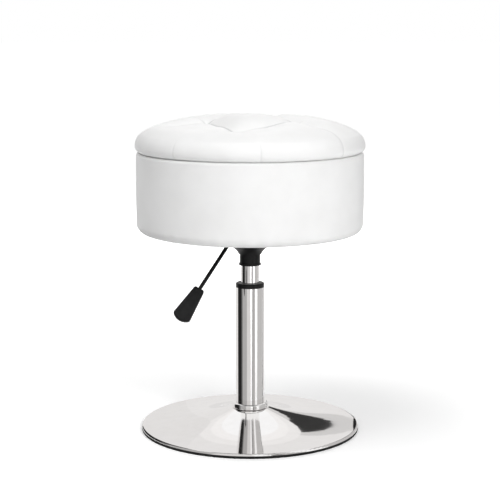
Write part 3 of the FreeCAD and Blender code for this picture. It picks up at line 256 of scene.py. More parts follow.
def woven(name, dark, light, pitch, depth):
    """Plain weave from two crossing sets of threads."""
    material, tree, shader = new_material(name)
    threads = []
    for direction in ("DIAGONAL", "Z"):
        wave = add(tree, "ShaderNodeTexWave", {"wave_type": "BANDS", "bands_direction": direction},
                   Scale=1 / pitch, Distortion=WEAVE_WAVER, Detail=1)
        tree.links.new(place(tree), wave.inputs["Vector"])
        threads.append(wave.outputs["Fac"])
    weave = add(tree, "ShaderNodeMath", {"operation": "MULTIPLY"})
    for socket, thread in zip(weave.inputs, threads):
        tree.links.new(thread, socket)
    colour = tones(tree, weave.outputs[0], dark, light, WEAVE_SPAN)
    tree.links.new(colour, shader.inputs["Base Color"])
    tree.links.new(spread(tree, noise(tree, CLOTH_SCALE), *CLOTH_ROUGH), shader.inputs["Roughness"])
    bump(tree, shader, [(weave.outputs[0], WEAVE_STRENGTH, depth)])
    return material


# Each: name, dark and light tone, roughness from and to, then scale and grain (scale, strength, depth)
CHROME = metal("chrome_plate", (0.905, 0.893, 0.888), (0.93, 0.92, 0.917), (0.04, 0.06),
               grain=(500, 0.01, 0.0001))
STEEL = metal("satin_steel", (0.48, 0.48, 0.48), (0.62, 0.62, 0.61), (0.26, 0.4), (1, 1, 0.1), 300,
              (900, 0.1, 0.0001))
BRIGHT_STEEL = metal("ground_steel", (0.6, 0.6, 0.61), (0.7, 0.7, 0.71), (0.12, 0.22), (0.2, 0.2, 1), 400,
                     (1200, 0.08, 0.0001))
WHITE_SKIN = leatherette("white_leatherette")
# The tufted cover's material carries painted crease shade
TUFTED_SKIN = leatherette("tufted_leatherette_painted_shade", with_painted_crease_shade=True)
THREAD = plain("white_thread", (0.8, 0.8, 0.79), (0.92, 0.92, 0.91), (0.6, 0.75), 900, (2500, 0.4, 0.0002))
PLASTIC = plain("black_plastic", (0.007, 0.007, 0.0075), (0.013, 0.013, 0.0135), (0.3, 0.42), 90,
                (1600, 0.12, 0.0002), gloss=0.2)
COATED = plain("black_powder_coat", (0.008, 0.008, 0.008), (0.015, 0.015, 0.015), (0.4, 0.55), 120,
               (700, 0.25, 0.0003), gloss=0.2)
RUBBER = plain("black_rubber", (0.007, 0.007, 0.007), (0.014, 0.014, 0.014), (0.6, 0.8), 200,
               (1100, 0.2, 0.0002), gloss=0.2)
FOAM = plain("cut_foam", (0.75, 0.68, 0.5), (0.93, 0.88, 0.7), (0.85, 0.95), 700, (900, 0.6, 0.0006))
PLY = birch_ply()
LINING = woven("grey_lining", (0.05, 0.05, 0.055), (0.2, 0.2, 0.21), 0.0011, 0.0003)
FELT = plain("black_felt", (0.008, 0.008, 0.008), (0.03, 0.03, 0.03), (0.85, 0.95), 800, (1500, 0.5, 0.0004))
SLOT_LOOKS = {
    "chrome": CHROME, "steel": STEEL, "bearing_steel": BRIGHT_STEEL, "black_metal": COATED,
    "black_plastic": PLASTIC, "black_rubber": RUBBER, "plywood": PLY, "foam": FOAM,
    "white_leatherette": WHITE_SKIN, "quilted_leatherette": TUFTED_SKIN, "lining_cloth": LINING,
    "black_cloth": FELT,
}
for part in frame["record"]["subparts"]:
    look = SLOT_LOOKS[part["material_slot"]]
    node = NODES[part["node"]]
    node.data.materials.clear()
    node.data.materials.append(look)


# Mesh pieces

def mesh_piece(name, points, faces, material, body):
    """Smooth mesh object that rides on a body."""
    mesh = bpy.data.meshes.new(name)
    mesh.from_pydata([tuple(point) for point in points], [], faces)
    mesh.validate()
    mesh.polygons.foreach_set("use_smooth", [True] * len(mesh.polygons))
    mesh.materials.append(material)
    mesh.update()
    piece = bpy.data.objects.new(name, mesh)
    bpy.context.scene.collection.objects.link(piece)
    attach(piece, body)
    return piece


def sharp_corners(piece, degrees):
    """Keeps edges sharper than an angle crisp on a smooth mesh."""
    piece.data.set_sharp_from_angle(angle=math.radians(degrees))


def arc(centre, radius, start, end, steps):
    """Points of an arc in the (radius, height) plane, angles in degrees."""
    angles = np.radians(np.linspace(start, end, steps))
    return [(centre[0] + radius * math.cos(a), centre[1] + radius * math.sin(a)) for a in angles]


def round_angles(steps):
    """Even angles once round."""
    return np.linspace(0, FULL_TURN, steps, endpoint=False)


def lathe(profile, angles, shift=None):
    """Closed ring swept from a closed (radius, height) profile. shift(r, z, angle) moves points softly."""
    points = []
    for angle in angles:
        for radius, height in profile:
            r, z = shift(radius, height, angle) if shift else (radius, height)
            points.append((r * math.cos(angle), r * math.sin(angle), z))
    rows = len(angles)
    columns = len(profile)
    faces = []
    for row in range(rows):
        after = (row + 1) % rows
        for column in range(columns):
            beside = (column + 1) % columns
            faces.append((row * columns + column, after * columns + column,
                          after * columns + beside, row * columns + beside))
    return points, faces


# Tufted lid

LID_R = 199.4 * MM
LID_BOTTOM = 492.65 * MM
LIP = 11 * MM
WIDEST_Z = LID_BOTTOM + LIP
SIDE_CURVE = 27.6 * MM
SIDE_TURN = 60.2
SHOULDER_CURVE = 178 * MM
SHOULDER_TURN = 82.0
TURN_IN_R = 159 * MM
BOARD_R = 186.15 * MM
BOARD_UNDER = 493.75 * MM
BOARD_TOP = 505.95 * MM
GRID = 384
SIM_STEP = 3
SMOOTH_STEPS = 60
TUFT_R = 80 * MM
TUFT_TURN = math.radians(253)
TUFT_COUNT = 4
TUFT_WIDTH = 44 * MM
TUFT_DEPTH = 14 * MM
FOLD_WIDTH = 30 * MM
FOLD_START = 12.5 * MM
FOLD_MIDDLE = 9 * MM
# Share of the way out of each half width
DEEP_WIDTH_AT = (0, 0.4, 0.7, 1)
SHALLOW_WIDTH_AT = (0, 0.2, 0.7, 1)
PLEAT_WIDTHS = (28.6 * MM, 22 * MM, 7 * MM, 5 * MM)
PLEAT_END = 0.8 * MM
PLEAT_REACH = 215 * MM
# Share of the way out, depth there: pleats that stay deep to the shoulder, and shallow ones
DEEP_PLEAT = ((0, 13 * MM), (0.35, 9.5 * MM), (0.55, 4 * MM), (0.7, 1.4 * MM), (1, PLEAT_END))
SHALLOW_PLEAT = ((0, 8 * MM), (0.25, 1.2 * MM), (0.8, 0.1 * MM), (0.88, PLEAT_END), (1, PLEAT_END))
# Share of the way out, and the strength of the painted shade in the crease there
PLEAT_PAINTED_SHADE_AT = (0, 0.12, 0.8, 0.88, 1)
DEEP_PAINTED_SHADE = (1, 0.6, 0.5, 0.5, 0.5)
SHALLOW_PAINTED_SHADE = (1, 0.1, 0, 0.3, 0.4)
# Tuft number, and its sides with a deep pleat
DEEP_SIDES = {1: (-1,), 2: (-1, 1), 3: (1,)}
LINE_STEPS = 33
FOLD_SHARPNESS = 1.7
TUFT_SHARPNESS = 2
FOLD_BLEND = 5.0
CREASE_WIDTH = 1.3 * MM
TUFT_PINCH_WIDTH = 3 * MM
SAG = 14 * MM
SAG_TURN = math.radians(245)
SAG_FACING = (-0.1, 0.75)
SAG_RISE = (15 * MM, 75 * MM)
SAG_END = (120 * MM, 178 * MM)
FADE = 8 * MM
INSIDE_Z = 450 * MM
HELD_NEARNESS = 0.02
HELD_BEFORE_LIP = 8 * MM
STILL_NEARNESS = 0.05
STILL_BEFORE_LIP = 25 * MM
RISE_LIMITS = (-2 * MM, 3 * MM)
CLOSED_R = 120 * MM
SIM_FRAMES = 20
CLOTH_SETTINGS = {
    "quality": 6, "mass": 0.3, "tension_stiffness": 18, "compression_stiffness": 18, "shear_stiffness": 8,
    "bending_stiffness": 3, "use_pressure": True, "uniform_pressure_force": 4, "vertex_group_mass": "held",
    "pin_stiffness": 5,
}
LID_CORNER = 60


def crown_profile():
    """Cover from the crown's centre over the side and the lip to its turned-in edge: radius, height, run."""
    side_turn = math.radians(SIDE_TURN)
    shoulder_turn = math.radians(SHOULDER_TURN)
    side_centre = (LID_R - SIDE_CURVE, WIDEST_Z)
    shoulder_centre = (side_centre[0] - (SHOULDER_CURVE - SIDE_CURVE) * math.cos(side_turn),
                       side_centre[1] - (SHOULDER_CURVE - SIDE_CURVE) * math.sin(side_turn))
    end_r = shoulder_centre[0] + SHOULDER_CURVE * math.cos(shoulder_turn)
    end_z = shoulder_centre[1] + SHOULDER_CURVE * math.sin(shoulder_turn)
    top_curve = end_r / math.cos(shoulder_turn)
    top_centre = (0, end_z - top_curve * math.sin(shoulder_turn))
    line = arc(top_centre, top_curve, 90, SHOULDER_TURN, 60)
    line += arc(shoulder_centre, SHOULDER_CURVE, SHOULDER_TURN, SIDE_TURN, 60)[1:]
    line += arc(side_centre, SIDE_CURVE, SIDE_TURN, 0, 40)[1:]
    line += arc((LID_R - LIP, WIDEST_Z), LIP, 0, -90, 24)[1:]
    line += [(TURN_IN_R, LID_BOTTOM)]
    line = np.array(line)
    run = np.concatenate([[0], np.cumsum(np.linalg.norm(np.diff(line, axis=0), axis=1))])
    return line[:, 0], line[:, 1], run


def disc_grid(count):
    """Even square grid wrapped onto a disc: share of the radius, and angle, of each grid point."""
    u, v = np.meshgrid(np.linspace(-1, 1, count + 1), np.linspace(-1, 1, count + 1), indexing="ij")
    wide = np.abs(u) >= np.abs(v)
    radius = np.where(wide, np.abs(u), np.abs(v))
    safe_u = np.where(u == 0, 1, u)
    safe_v = np.where(v == 0, 1, v)
    angle = np.where(wide, math.pi / 4 * v / safe_u, math.pi / 2 - math.pi / 4 * u / safe_v)
    angle = np.where(wide & (u < 0), angle + math.pi, angle)
    angle = np.where(~wide & (v < 0), angle + math.pi, angle)
    return radius, angle


def smooth_step(values, low, high):
    share = np.clip((values - low) / (high - low), 0, 1)
    return share * share * (3 - 2 * share)


def front_sag(x, y):
    """The seat is softer and lower at the front, between the crown and the shoulder."""
    radius = np.hypot(x, y)
    facing = (x * math.cos(SAG_TURN) + y * math.sin(SAG_TURN)) / np.maximum(radius, 1 * MM)
    ring = smooth_step(radius, *SAG_RISE) * (1 - smooth_step(radius, *SAG_END))
    return SAG * ring * smooth_step(facing, *SAG_FACING)


def fold_lines():
    """Plan lines of the sewn folds: points, depth, half width and painted crease shade along each."""
    lines = []
    share = np.linspace(0, 1, LINE_STEPS)
    pitch = FULL_TURN / TUFT_COUNT
    for index in range(TUFT_COUNT):
        here = TUFT_TURN + index * pitch
        start = np.array([math.cos(here), math.sin(here)]) * TUFT_R
        end = np.array([math.cos(here + pitch), math.sin(here + pitch)]) * TUFT_R
        across = start + np.outer(share, end - start)
        ends = np.abs(2 * share - 1) ** 2
        lines.append((across, FOLD_MIDDLE + (FOLD_START - FOLD_MIDDLE) * ends,
                      np.full_like(share, FOLD_WIDTH), np.ones_like(share)))
        for side in (-1, 1):
            lines.append(pleat_line(share, here, side * pitch / 4, side in DEEP_SIDES.get(index, ())))
    return lines


def pleat_line(share, start, turn, deep):
    """Pleat that curves from a tuft out to the lip: points, depth, half width and painted crease shade."""
    radius = TUFT_R + share * (PLEAT_REACH - TUFT_R)
    angle = start + turn * (2 * share - share ** 2)
    outward = np.stack([radius * np.cos(angle), radius * np.sin(angle)], 1)
    depth = np.interp(share, *zip(*(DEEP_PLEAT if deep else SHALLOW_PLEAT)))
    width = np.interp(share, DEEP_WIDTH_AT if deep else SHALLOW_WIDTH_AT, PLEAT_WIDTHS)
    painted_line_shade = np.interp(share, PLEAT_PAINTED_SHADE_AT, DEEP_PAINTED_SHADE if deep else SHALLOW_PAINTED_SHADE)
    return outward, depth, width, painted_line_shade


def tuft_field(x, y):
    """Depth of the tufting, nearness to a fold's bottom line, and the painted shade in its crease, over plan
    points.
    """
    total = np.zeros_like(x)
    nearness = np.zeros_like(x)
    shade = np.zeros_like(x)
    for points, depths, widths, painted_line_shades in fold_lines():
        best = np.full(x.shape, 1e9)
        depth = np.zeros_like(x)
        width = np.ones_like(x)
        painted_line_shade = np.ones_like(x)
        for first in range(len(points) - 1):
            a = points[first]
            step = points[first + 1] - a
            along = np.clip(((x - a[0]) * step[0] + (y - a[1]) * step[1]) / (step @ step), 0, 1)
            away = np.hypot(x - a[0] - along * step[0], y - a[1] - along * step[1])
            closer = away < best
            best = np.where(closer, away, best)
            depth = np.where(closer, depths[first] + along * (depths[first + 1] - depths[first]), depth)
            width = np.where(closer, widths[first] + along * (widths[first + 1] - widths[first]), width)
            painted_line_shade = np.where(closer, painted_line_shades[first] + along * (painted_line_shades[first + 1] - painted_line_shades[first]), painted_line_shade)
        hollow = depth * np.clip(1 - best / width, 0, 1) ** FOLD_SHARPNESS
        total += hollow ** FOLD_BLEND
        # Painted shade: a thin grey line along each fold's bottom; the same line holds the cloth there
        line = np.exp(-(best / CREASE_WIDTH) ** 2)
        nearness = np.maximum(nearness, line)
        shade = np.maximum(shade, line * painted_line_shade)
    for index in range(TUFT_COUNT):
        here = TUFT_TURN + index * FULL_TURN / TUFT_COUNT
        away = np.hypot(x - TUFT_R * math.cos(here), y - TUFT_R * math.sin(here))
        hollow = TUFT_DEPTH * np.clip(1 - away / TUFT_WIDTH, 0, 1) ** TUFT_SHARPNESS
        total += hollow ** FOLD_BLEND
        # Painted shade: a grey spot in each tuft's dimple, with no button there; the same spot holds the
        # cloth
        tuft_pinch = np.exp(-(away / TUFT_PINCH_WIDTH) ** 2)
        nearness = np.maximum(nearness, tuft_pinch)
        shade = np.maximum(shade, tuft_pinch)
    return total ** (1 / FOLD_BLEND), nearness, shade


def grid_faces(count):
    index = np.arange((count + 1) ** 2).reshape(count + 1, count + 1)
    corners = [index[:-1, :-1], index[1:, :-1], index[1:, 1:], index[:-1, 1:]]
    return np.stack([c.ravel() for c in corners], 1)


def puff(points, count, held):
    """Cloth pushed up by its wadding, held at the sewn lines and below the lip: shift of each point."""
    mesh = bpy.data.meshes.new("puff")
    mesh.from_pydata([tuple(p) for p in points], [], grid_faces(count).tolist())
    sheet = bpy.data.objects.new("puff", mesh)
    bpy.context.scene.collection.objects.link(sheet)
    group = sheet.vertex_groups.new(name="held")
    for index in np.nonzero(held)[0]:
        group.add([int(index)], 1.0, "REPLACE")
    cloth = sheet.modifiers.new("cloth", "CLOTH")
    for key, value in CLOTH_SETTINGS.items():
        setattr(cloth.settings, key, value)
    cloth.settings.effector_weights.gravity = 0
    cloth.collision_settings.use_collision = False
    scene = bpy.context.scene
    for step in range(1, SIM_FRAMES + 1):
        scene.frame_set(step)
    result = sheet.evaluated_get(bpy.context.evaluated_depsgraph_get()).to_mesh()
    moved = np.zeros(len(points) * 3, np.float32)
    result.vertices.foreach_get("co", moved)
    shift = moved.reshape(-1, 3).astype(float) - points
    scene.frame_set(1)
    bpy.data.objects.remove(sheet)
    return shift


def surface_normals(points, count):
    """Outward normals of a wrapped grid."""
    grid = points.reshape(count + 1, count + 1, 3)
    normal = np.cross(np.gradient(grid, axis=0), np.gradient(grid, axis=1))
    normal /= np.maximum(np.linalg.norm(normal, axis=2, keepdims=True), 1e-12)
    return normal.reshape(-1, 3)


def finer(values, times):
    """Values on a coarse grid, carried to a finer one."""
    coarse = np.arange(values.shape[0]) * times
    fine = np.arange((values.shape[0] - 1) * times + 1)
    half = np.stack([np.interp(fine, coarse, values[:, j]) for j in range(values.shape[1])], 1)
    return np.stack([np.interp(fine, coarse, half[i]) for i in range(half.shape[0])], 0)


def relaxed(points, held):
    """Evens out the puffs between the sewn lines, as wadding under the cover does."""
    grid = points.reshape(GRID + 1, GRID + 1, 3).copy()
    free = ~held.reshape(GRID + 1, GRID + 1)[1:-1, 1:-1, None]
    for _ in range(SMOOTH_STEPS):
        around = (grid[:-2, 1:-1] + grid[2:, 1:-1] + grid[1:-1, :-2] + grid[1:-1, 2:]) / 4
        grid[1:-1, 1:-1] = np.where(free, around, grid[1:-1, 1:-1])
    return grid.reshape(-1, 3)


def cover_shape(share, angle):
    """Sewn cover before it puffs: points, outward normals, nearness to a fold, painted crease shade, and
    fade to the lip.
    """
    radius, height, run = crown_profile()
    place_r = np.interp(share * run[-1], run, radius)
    place_z = np.interp(share * run[-1], run, height)
    x = place_r * np.cos(angle)
    y = place_r * np.sin(angle)
    depth, nearness, shade = tuft_field(x, y)
    lip_end = run[np.argmax(radius)] + LIP * math.pi / 2
    fade = np.clip((lip_end - share * run[-1]) / FADE, 0, 1)
    points = np.stack([x, y, place_z], 1)
    normal = surface_normals(points, GRID)
    inward = np.where((normal * np.stack([x, y, place_z - INSIDE_Z], 1)).sum(1) < 0, 1.0, -1.0)
    outward = -normal * inward[:, None]
    points = points - outward * ((depth + front_sag(x, y)) * fade)[:, None]
    return points, outward, nearness, shade, fade


def puffed(points, outward, nearness, fade, to_lip):
    """Cover swollen by its wadding. to_lip is the way along the cover from each point to its widest line."""
    keep = np.zeros((GRID + 1, GRID + 1), bool)
    keep[::SIM_STEP, ::SIM_STEP] = True
    keep = keep.ravel()
    held = (nearness[keep] > HELD_NEARNESS) | ~(to_lip[keep] > HELD_BEFORE_LIP)
    count = GRID // SIM_STEP
    shift = puff(points[keep], count, held)
    rise = np.clip((shift * outward[keep]).sum(1), *RISE_LIMITS)
    rise = finer(rise.reshape(count + 1, count + 1), SIM_STEP).ravel()
    return points + outward * (rise * fade)[:, None]


def closed_under_board(points, angle):
    """Turns the cover's edge in round the board and closes it on top: all points and faces."""
    faces = grid_faces(GRID).tolist()
    index = np.arange((GRID + 1) ** 2).reshape(GRID + 1, GRID + 1)
    rim = np.concatenate([index[:-1, 0], index[-1, :-1], index[:0:-1, -1], index[0, :0:-1]])
    rim_angle = angle[rim]
    all_points = [points]
    offset = len(points)
    previous = rim
    inner = [(TURN_IN_R, BOARD_UNDER), (BOARD_R, BOARD_UNDER), (BOARD_R, BOARD_TOP), (CLOSED_R, BOARD_TOP)]
    for ring_r, ring_z in inner:
        ring = np.stack([ring_r * np.cos(rim_angle), ring_r * np.sin(rim_angle),
                         np.full_like(rim_angle, ring_z)], 1)
        current = offset + np.arange(len(rim))
        for k in range(len(rim)):
            after = (k + 1) % len(rim)
            faces.append((int(previous[k]), int(previous[after]), int(current[after]), int(current[k])))
        all_points.append(ring)
        offset += len(rim)
        previous = current
    faces.append(tuple(int(v) for v in previous))
    return np.concatenate(all_points), faces


def make_lid_cushion():
    radius, _, run = crown_profile()
    share, angle = (values.ravel() for values in disc_grid(GRID))
    to_lip = run[np.argmax(radius)] - share * run[-1]
    points, outward, nearness, shade, fade = cover_shape(share, angle)
    points = puffed(points, outward, nearness, fade, to_lip)
    points = relaxed(points, (nearness > STILL_NEARNESS) | (to_lip < STILL_BEFORE_LIP))
    all_points, faces = closed_under_board(points, angle)
    cushion = mesh_piece("lid_cushion", all_points, faces, TUFTED_SKIN, "lid")
    # Painted shade along the creases and in the tuft dimples, stored as a point attribute for the material
    painted_crease_shade = cushion.data.attributes.new("painted_crease_shade", "FLOAT", "POINT")
    values = np.zeros(len(cushion.data.vertices), np.float32)
    values[:len(shade)] = shade * fade
    painted_crease_shade.data.foreach_set("value", values)
    outward_faces(cushion)
    sharp_corners(cushion, LID_CORNER)
    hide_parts("lid_cover", "lid_foam")


def outward_faces(piece):
    """Turns all faces of a closed mesh outwards."""
    work = bmesh.new()
    work.from_mesh(piece.data)
    bmesh.ops.recalc_face_normals(work, faces=work.faces)
    work.to_mesh(piece.data)
    work.free()


make_lid_cushion()


# Upholstered drum

DRUM_R = 197.2 * MM
DRUM_BOTTOM = 353.2 * MM
DRUM_TOP = 492.25 * MM
EDGE = 16 * MM
BRIM = 5 * MM
SKIN = 1.2 * MM
WALL_R = 188.7 * MM
WALL_INNER_R = 179.4 * MM
WALL_TOP = 491.15 * MM
FLOOR_ROUND = 12 * MM
TURN_UNDER_R = 151.2 * MM
SEAM_ANGLE = math.pi / 2
SEAM_WIDTH = 1.6 * MM
SEAM_DEPTH = 1.3 * MM
SEAM_ZONE = 8 * MM
SEAM_CLEAR = 8.5 * MM
SEAM_STEPS = 41
SWELL = 0.5 * MM
SWELL_AT = 4.5 * MM
SWELL_WIDTH = 2.2 * MM
DRUM_STEPS = 288
BELLY = 0.7 * MM
RIPPLE = 0.35 * MM
RIPPLE_AT = 9 * MM
RIPPLE_WIDTH = 11 * MM
OUTER_ONLY = WALL_R + 1 * MM
DRUM_CORNER = 50


def drum_angles():
    """Even steps round the drum, with close steps across the back seam."""
    angles = round_angles(DRUM_STEPS)
    close = np.linspace(-SEAM_ZONE, SEAM_ZONE, SEAM_STEPS) / DRUM_R + SEAM_ANGLE
    angles = [a for a in angles if abs(a - SEAM_ANGLE) > SEAM_CLEAR / DRUM_R]
    return sorted(angles + list(close))


def drum_shift(radius, height, angle):
    """Soft life in the stretched cover: a faint belly, ripples at the turned edge, and the back seam."""
    if radius < OUTER_ONLY:
        return radius, height
    share = min(max((height - DRUM_BOTTOM) / (DRUM_TOP - DRUM_BOTTOM), 0), 1)
    belly = BELLY * math.sin(math.pi * share)
    ripple = RIPPLE * math.exp(-((height - DRUM_BOTTOM - RIPPLE_AT) / RIPPLE_WIDTH) ** 2)
    ripple *= math.sin(47 * angle) + 0.7 * math.sin(31 * angle + 1.3)
    away = (angle - SEAM_ANGLE) * DRUM_R
    seam = SEAM_DEPTH * math.exp(-(away / SEAM_WIDTH) ** 2)
    swell = SWELL * math.exp(-((abs(away) - SWELL_AT) / SWELL_WIDTH) ** 2)
    return radius + belly + ripple - seam + swell, height


def make_drum_upholstery():
    profile = [(TURN_UNDER_R, DRUM_BOTTOM)]
    profile += arc((DRUM_R - EDGE, DRUM_BOTTOM + EDGE), EDGE, -90, 0, 14)
    profile += [(DRUM_R, z) for z in np.linspace(DRUM_BOTTOM + EDGE, DRUM_TOP - BRIM, 22)[1:-1]]
    profile += arc((DRUM_R - BRIM, DRUM_TOP - BRIM), BRIM, 0, 90, 9)
    profile += [(WALL_INNER_R, DRUM_TOP), (WALL_INNER_R, WALL_TOP), (WALL_R, WALL_TOP)]
    floor_round = (WALL_R - FLOOR_ROUND, DRUM_BOTTOM + SKIN + FLOOR_ROUND)
    profile += arc(floor_round, FLOOR_ROUND, 0, -90, 8)
    profile += [(TURN_UNDER_R, DRUM_BOTTOM + SKIN)]
    points, faces = lathe(profile, drum_angles(), drum_shift)
    drum = mesh_piece("drum_upholstery", points, faces, WHITE_SKIN, "seat")
    outward_faces(drum)
    sharp_corners(drum, DRUM_CORNER)
    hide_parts("drum_cover", "side_padding")


make_drum_upholstery()


# Stitching, lining and dust cloth

STITCH_PITCH = 5.2 * MM
STITCH_OFFSET = 4.5 * MM
STITCH_LOW = DRUM_BOTTOM + EDGE + 4 * MM
STITCH_HIGH = DRUM_TOP - BRIM - 3 * MM
STITCH_HALF = 1.95 * MM
STITCH_RISE = 0.12 * MM
THREAD_R = 0.5 * MM
THREAD_END = 0.25
THREAD_RINGS = 7
THREAD_SIDES = 8
LINING_R = 179.1 * MM
LINING_UNDER = 370.9 * MM
LINING_SKIN = 0.7 * MM
HEM = 6 * MM
HEM_SWELL = 0.5 * MM
LINING_MIDDLE_R = 4 * MM
LINING_STEPS = 192
SLACK = 0.12 * MM
LINING_CORNER = 50
CLOTH_R = 150.9 * MM
CLOTH_HOLE_R = 50 * MM
CLOTH_LOW = 353.6 * MM
CLOTH_HIGH = 354.4 * MM
CLOTH_STEPS = 160
CLOTH_CORNER = 40
BOLT_COUNT = 4
BOLT_RING = 84.85 * MM
BOLT_ROOM = 3.3 * MM
BOLT_SIDES = 24
CUTTER_LENGTH = 10 * MM


def stitch(height, angle, first):
    """One stitch of thread on the drum at an angle: its points, and its faces from point number first on."""
    outward = np.array([math.cos(angle), math.sin(angle), 0])
    across = np.array([-math.sin(angle), math.cos(angle), 0])
    surface = drum_shift(DRUM_R, height, angle)[0]
    points = []
    for ring in range(THREAD_RINGS):
        share = 2 * ring / (THREAD_RINGS - 1) - 1
        thick = THREAD_R * (THREAD_END + (1 - THREAD_END) * math.sqrt(max(1 - share ** 2, 0)))
        middle = outward * (surface + STITCH_RISE * (1 - 2 * share ** 2))
        middle = middle + np.array([0, 0, height + STITCH_HALF * share])
        for turn in round_angles(THREAD_SIDES):
            points.append(middle + outward * thick * math.cos(turn) + across * thick * math.sin(turn))
    faces = []
    for low in range(first, first + (THREAD_RINGS - 1) * THREAD_SIDES, THREAD_SIDES):
        for side in range(THREAD_SIDES):
            beside = (side + 1) % THREAD_SIDES
            faces.append((low + side, low + beside, low + THREAD_SIDES + beside, low + THREAD_SIDES + side))
    last = first + (THREAD_RINGS - 1) * THREAD_SIDES
    faces += [tuple(end + side for side in range(THREAD_SIDES)) for end in (first, last)]
    return points, faces


def make_stitches():
    """Two rows of thread along the drum's back seam."""
    points = []
    faces = []
    for row in (-1, 1):
        angle = SEAM_ANGLE + row * STITCH_OFFSET / DRUM_R
        for height in np.arange(STITCH_LOW, STITCH_HIGH, STITCH_PITCH):
            new_points, new_faces = stitch(height, angle, len(points))
            points += new_points
            faces += new_faces
    stitches = mesh_piece("seam_stitches", points, faces, THREAD, "seat")
    outward_faces(stitches)


def make_lining():
    """Cloth bag glued into the drum: flat floor, wall with a rolled hem."""
    inner = LINING_R - LINING_SKIN
    floor_z = LINING_UNDER + LINING_SKIN
    hem = [(inner - HEM_SWELL * math.sin(math.pi * s), WALL_TOP - HEM * s) for s in np.linspace(0, 1, 9)]
    wall = [(inner, z) for z in np.linspace(WALL_TOP - HEM, floor_z, 14)[1:]]
    floor = [(r, floor_z) for r in np.linspace(inner, LINING_MIDDLE_R, 12)[1:]]
    under = [(r, LINING_UNDER) for r in np.linspace(LINING_MIDDLE_R, LINING_R, 12)]
    profile = under + [(LINING_R, WALL_TOP)] + hem + wall + floor
    points, faces = lathe(profile, round_angles(LINING_STEPS), lining_shift)
    columns = len(profile)
    faces = [face for face in faces if not {face[0] % columns, face[2] % columns} == {0, columns - 1}]
    faces.append(tuple(row * columns for row in range(LINING_STEPS)))
    faces.append(tuple(row * columns + columns - 1 for row in range(LINING_STEPS)))
    lining = mesh_piece("storage_lining", points, faces, LINING, "seat")
    outward_faces(lining)
    sharp_corners(lining, LINING_CORNER)
    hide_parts("drum_lining")


def lining_shift(radius, height, angle):
    """Faint slack in the glued cloth."""
    slack = SLACK * (math.sin(5 * angle + 60 * height) + math.sin(9 * angle - 90 * height))
    if height > LINING_UNDER + 2 * LINING_SKIN and radius < LINING_R - LINING_SKIN / 2:
        return radius - abs(slack), height
    return radius, height


def bolt_cutter():
    """Round bars where the plate's bolts pass through the dust cloth."""
    work = bmesh.new()
    for turn in round_angles(BOLT_COUNT):
        hole = bmesh.ops.create_cone(work, cap_ends=True, segments=BOLT_SIDES, radius1=BOLT_ROOM,
                                     radius2=BOLT_ROOM, depth=CUTTER_LENGTH)
        bmesh.ops.translate(work, verts=hole["verts"],
                            vec=(BOLT_RING * math.cos(turn), BOLT_RING * math.sin(turn), CLOTH_LOW))
    mesh = bpy.data.meshes.new("bolt_room")
    work.to_mesh(mesh)
    work.free()
    cutter = bpy.data.objects.new("bolt_room", mesh)
    bpy.context.scene.collection.objects.link(cutter)
    return cutter


def make_dust_cloth():
    """Black felt ring under the drum, with holes for the plate's bolts."""
    lines = np.linspace(CLOTH_HOLE_R, CLOTH_R, 28)
    profile = [(r, CLOTH_LOW) for r in lines] + [(r, CLOTH_HIGH) for r in lines[::-1]]
    points, faces = lathe(profile, round_angles(CLOTH_STEPS))
    cloth = mesh_piece("dust_cloth", points, faces, FELT, "seat")
    outward_faces(cloth)
    cutter = bolt_cutter()
    cut = cloth.modifiers.new("bolt_room", "BOOLEAN")
    cut.operation = "DIFFERENCE"
    cut.object = cutter
    bpy.context.view_layer.update()
    result = bpy.data.meshes.new_from_object(cloth.evaluated_get(bpy.context.evaluated_depsgraph_get()))
    cloth.modifiers.clear()
    cloth.data = result
    bpy.data.objects.remove(cutter)
    sharp_corners(cloth, CLOTH_CORNER)
    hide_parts("dust_cover")


make_stitches()
make_lining()
make_dust_cloth()


# Stage, camera and light

FLOOR_SHADE = 0.9
FLOOR_ROUGH = 0.9
FLOOR_REACH = 30.0
FLOOR_STEPS = 64
FLOOR_DROP = 0.2 * MM
# Own light of the floor as cameras and mirrors see it, near the stool and farther off, and those distances
FLOOR_GLOW = (0.28, 0.88)
GLOW_AT = (0.35, 1.7)
# Room light from the left and from the right, along an axis to the right
ROOM_LIGHT = (0.36, 0.01)
ROOM_SPAN = (-0.6, 0.4)
ROOM_AXIS = (1, 0.1, 0)
CARD_STEPS = 24
# Faint warm tone of the cards
CARD_TONE = (1, 0.985, 0.975)
CAMERA_PLACE = (0, -2.49757, 0.73588)
CAMERA_PITCH = 9.4698
LENS = 104.0
SENSOR = 36


def floor_paint():
    """Pale paint that cameras and mirrors see as white, with the stool's shadow kept."""
    material, tree, shader = new_material("floor_paint")
    shader.inputs["Base Color"].default_value = (FLOOR_SHADE, FLOOR_SHADE, FLOOR_SHADE, 1)
    shader.inputs["Roughness"].default_value = FLOOR_ROUGH
    shader.inputs["Specular IOR Level"].default_value = 0
    shader.inputs["Emission Color"].default_value = (1, 1, 1, 1)
    distance = add(tree, "ShaderNodeVectorMath", {"operation": "LENGTH"})
    tree.links.new(place(tree), distance.inputs[0])
    level = spread(tree, distance.outputs["Value"], *FLOOR_GLOW, *GLOW_AT)
    scaled = add(tree, "ShaderNodeMath", {"operation": "MULTIPLY"})
    tree.links.new(seen_rays(tree), scaled.inputs[0])
    tree.links.new(level, scaled.inputs[1])
    tree.links.new(scaled.outputs[0], shader.inputs["Emission Strength"])
    return material


def seen_rays(tree):
    """1 for camera, glossy and transmission rays, else 0."""
    path = tree.nodes.new("ShaderNodeLightPath")
    total = path.outputs["Is Camera Ray"]
    for name in ("Is Glossy Ray", "Is Transmission Ray"):
        both = tree.nodes.new("ShaderNodeMath")
        both.operation = "MAXIMUM"
        tree.links.new(total, both.inputs[0])
        tree.links.new(path.outputs[name], both.inputs[1])
        total = both.outputs[0]
    return total


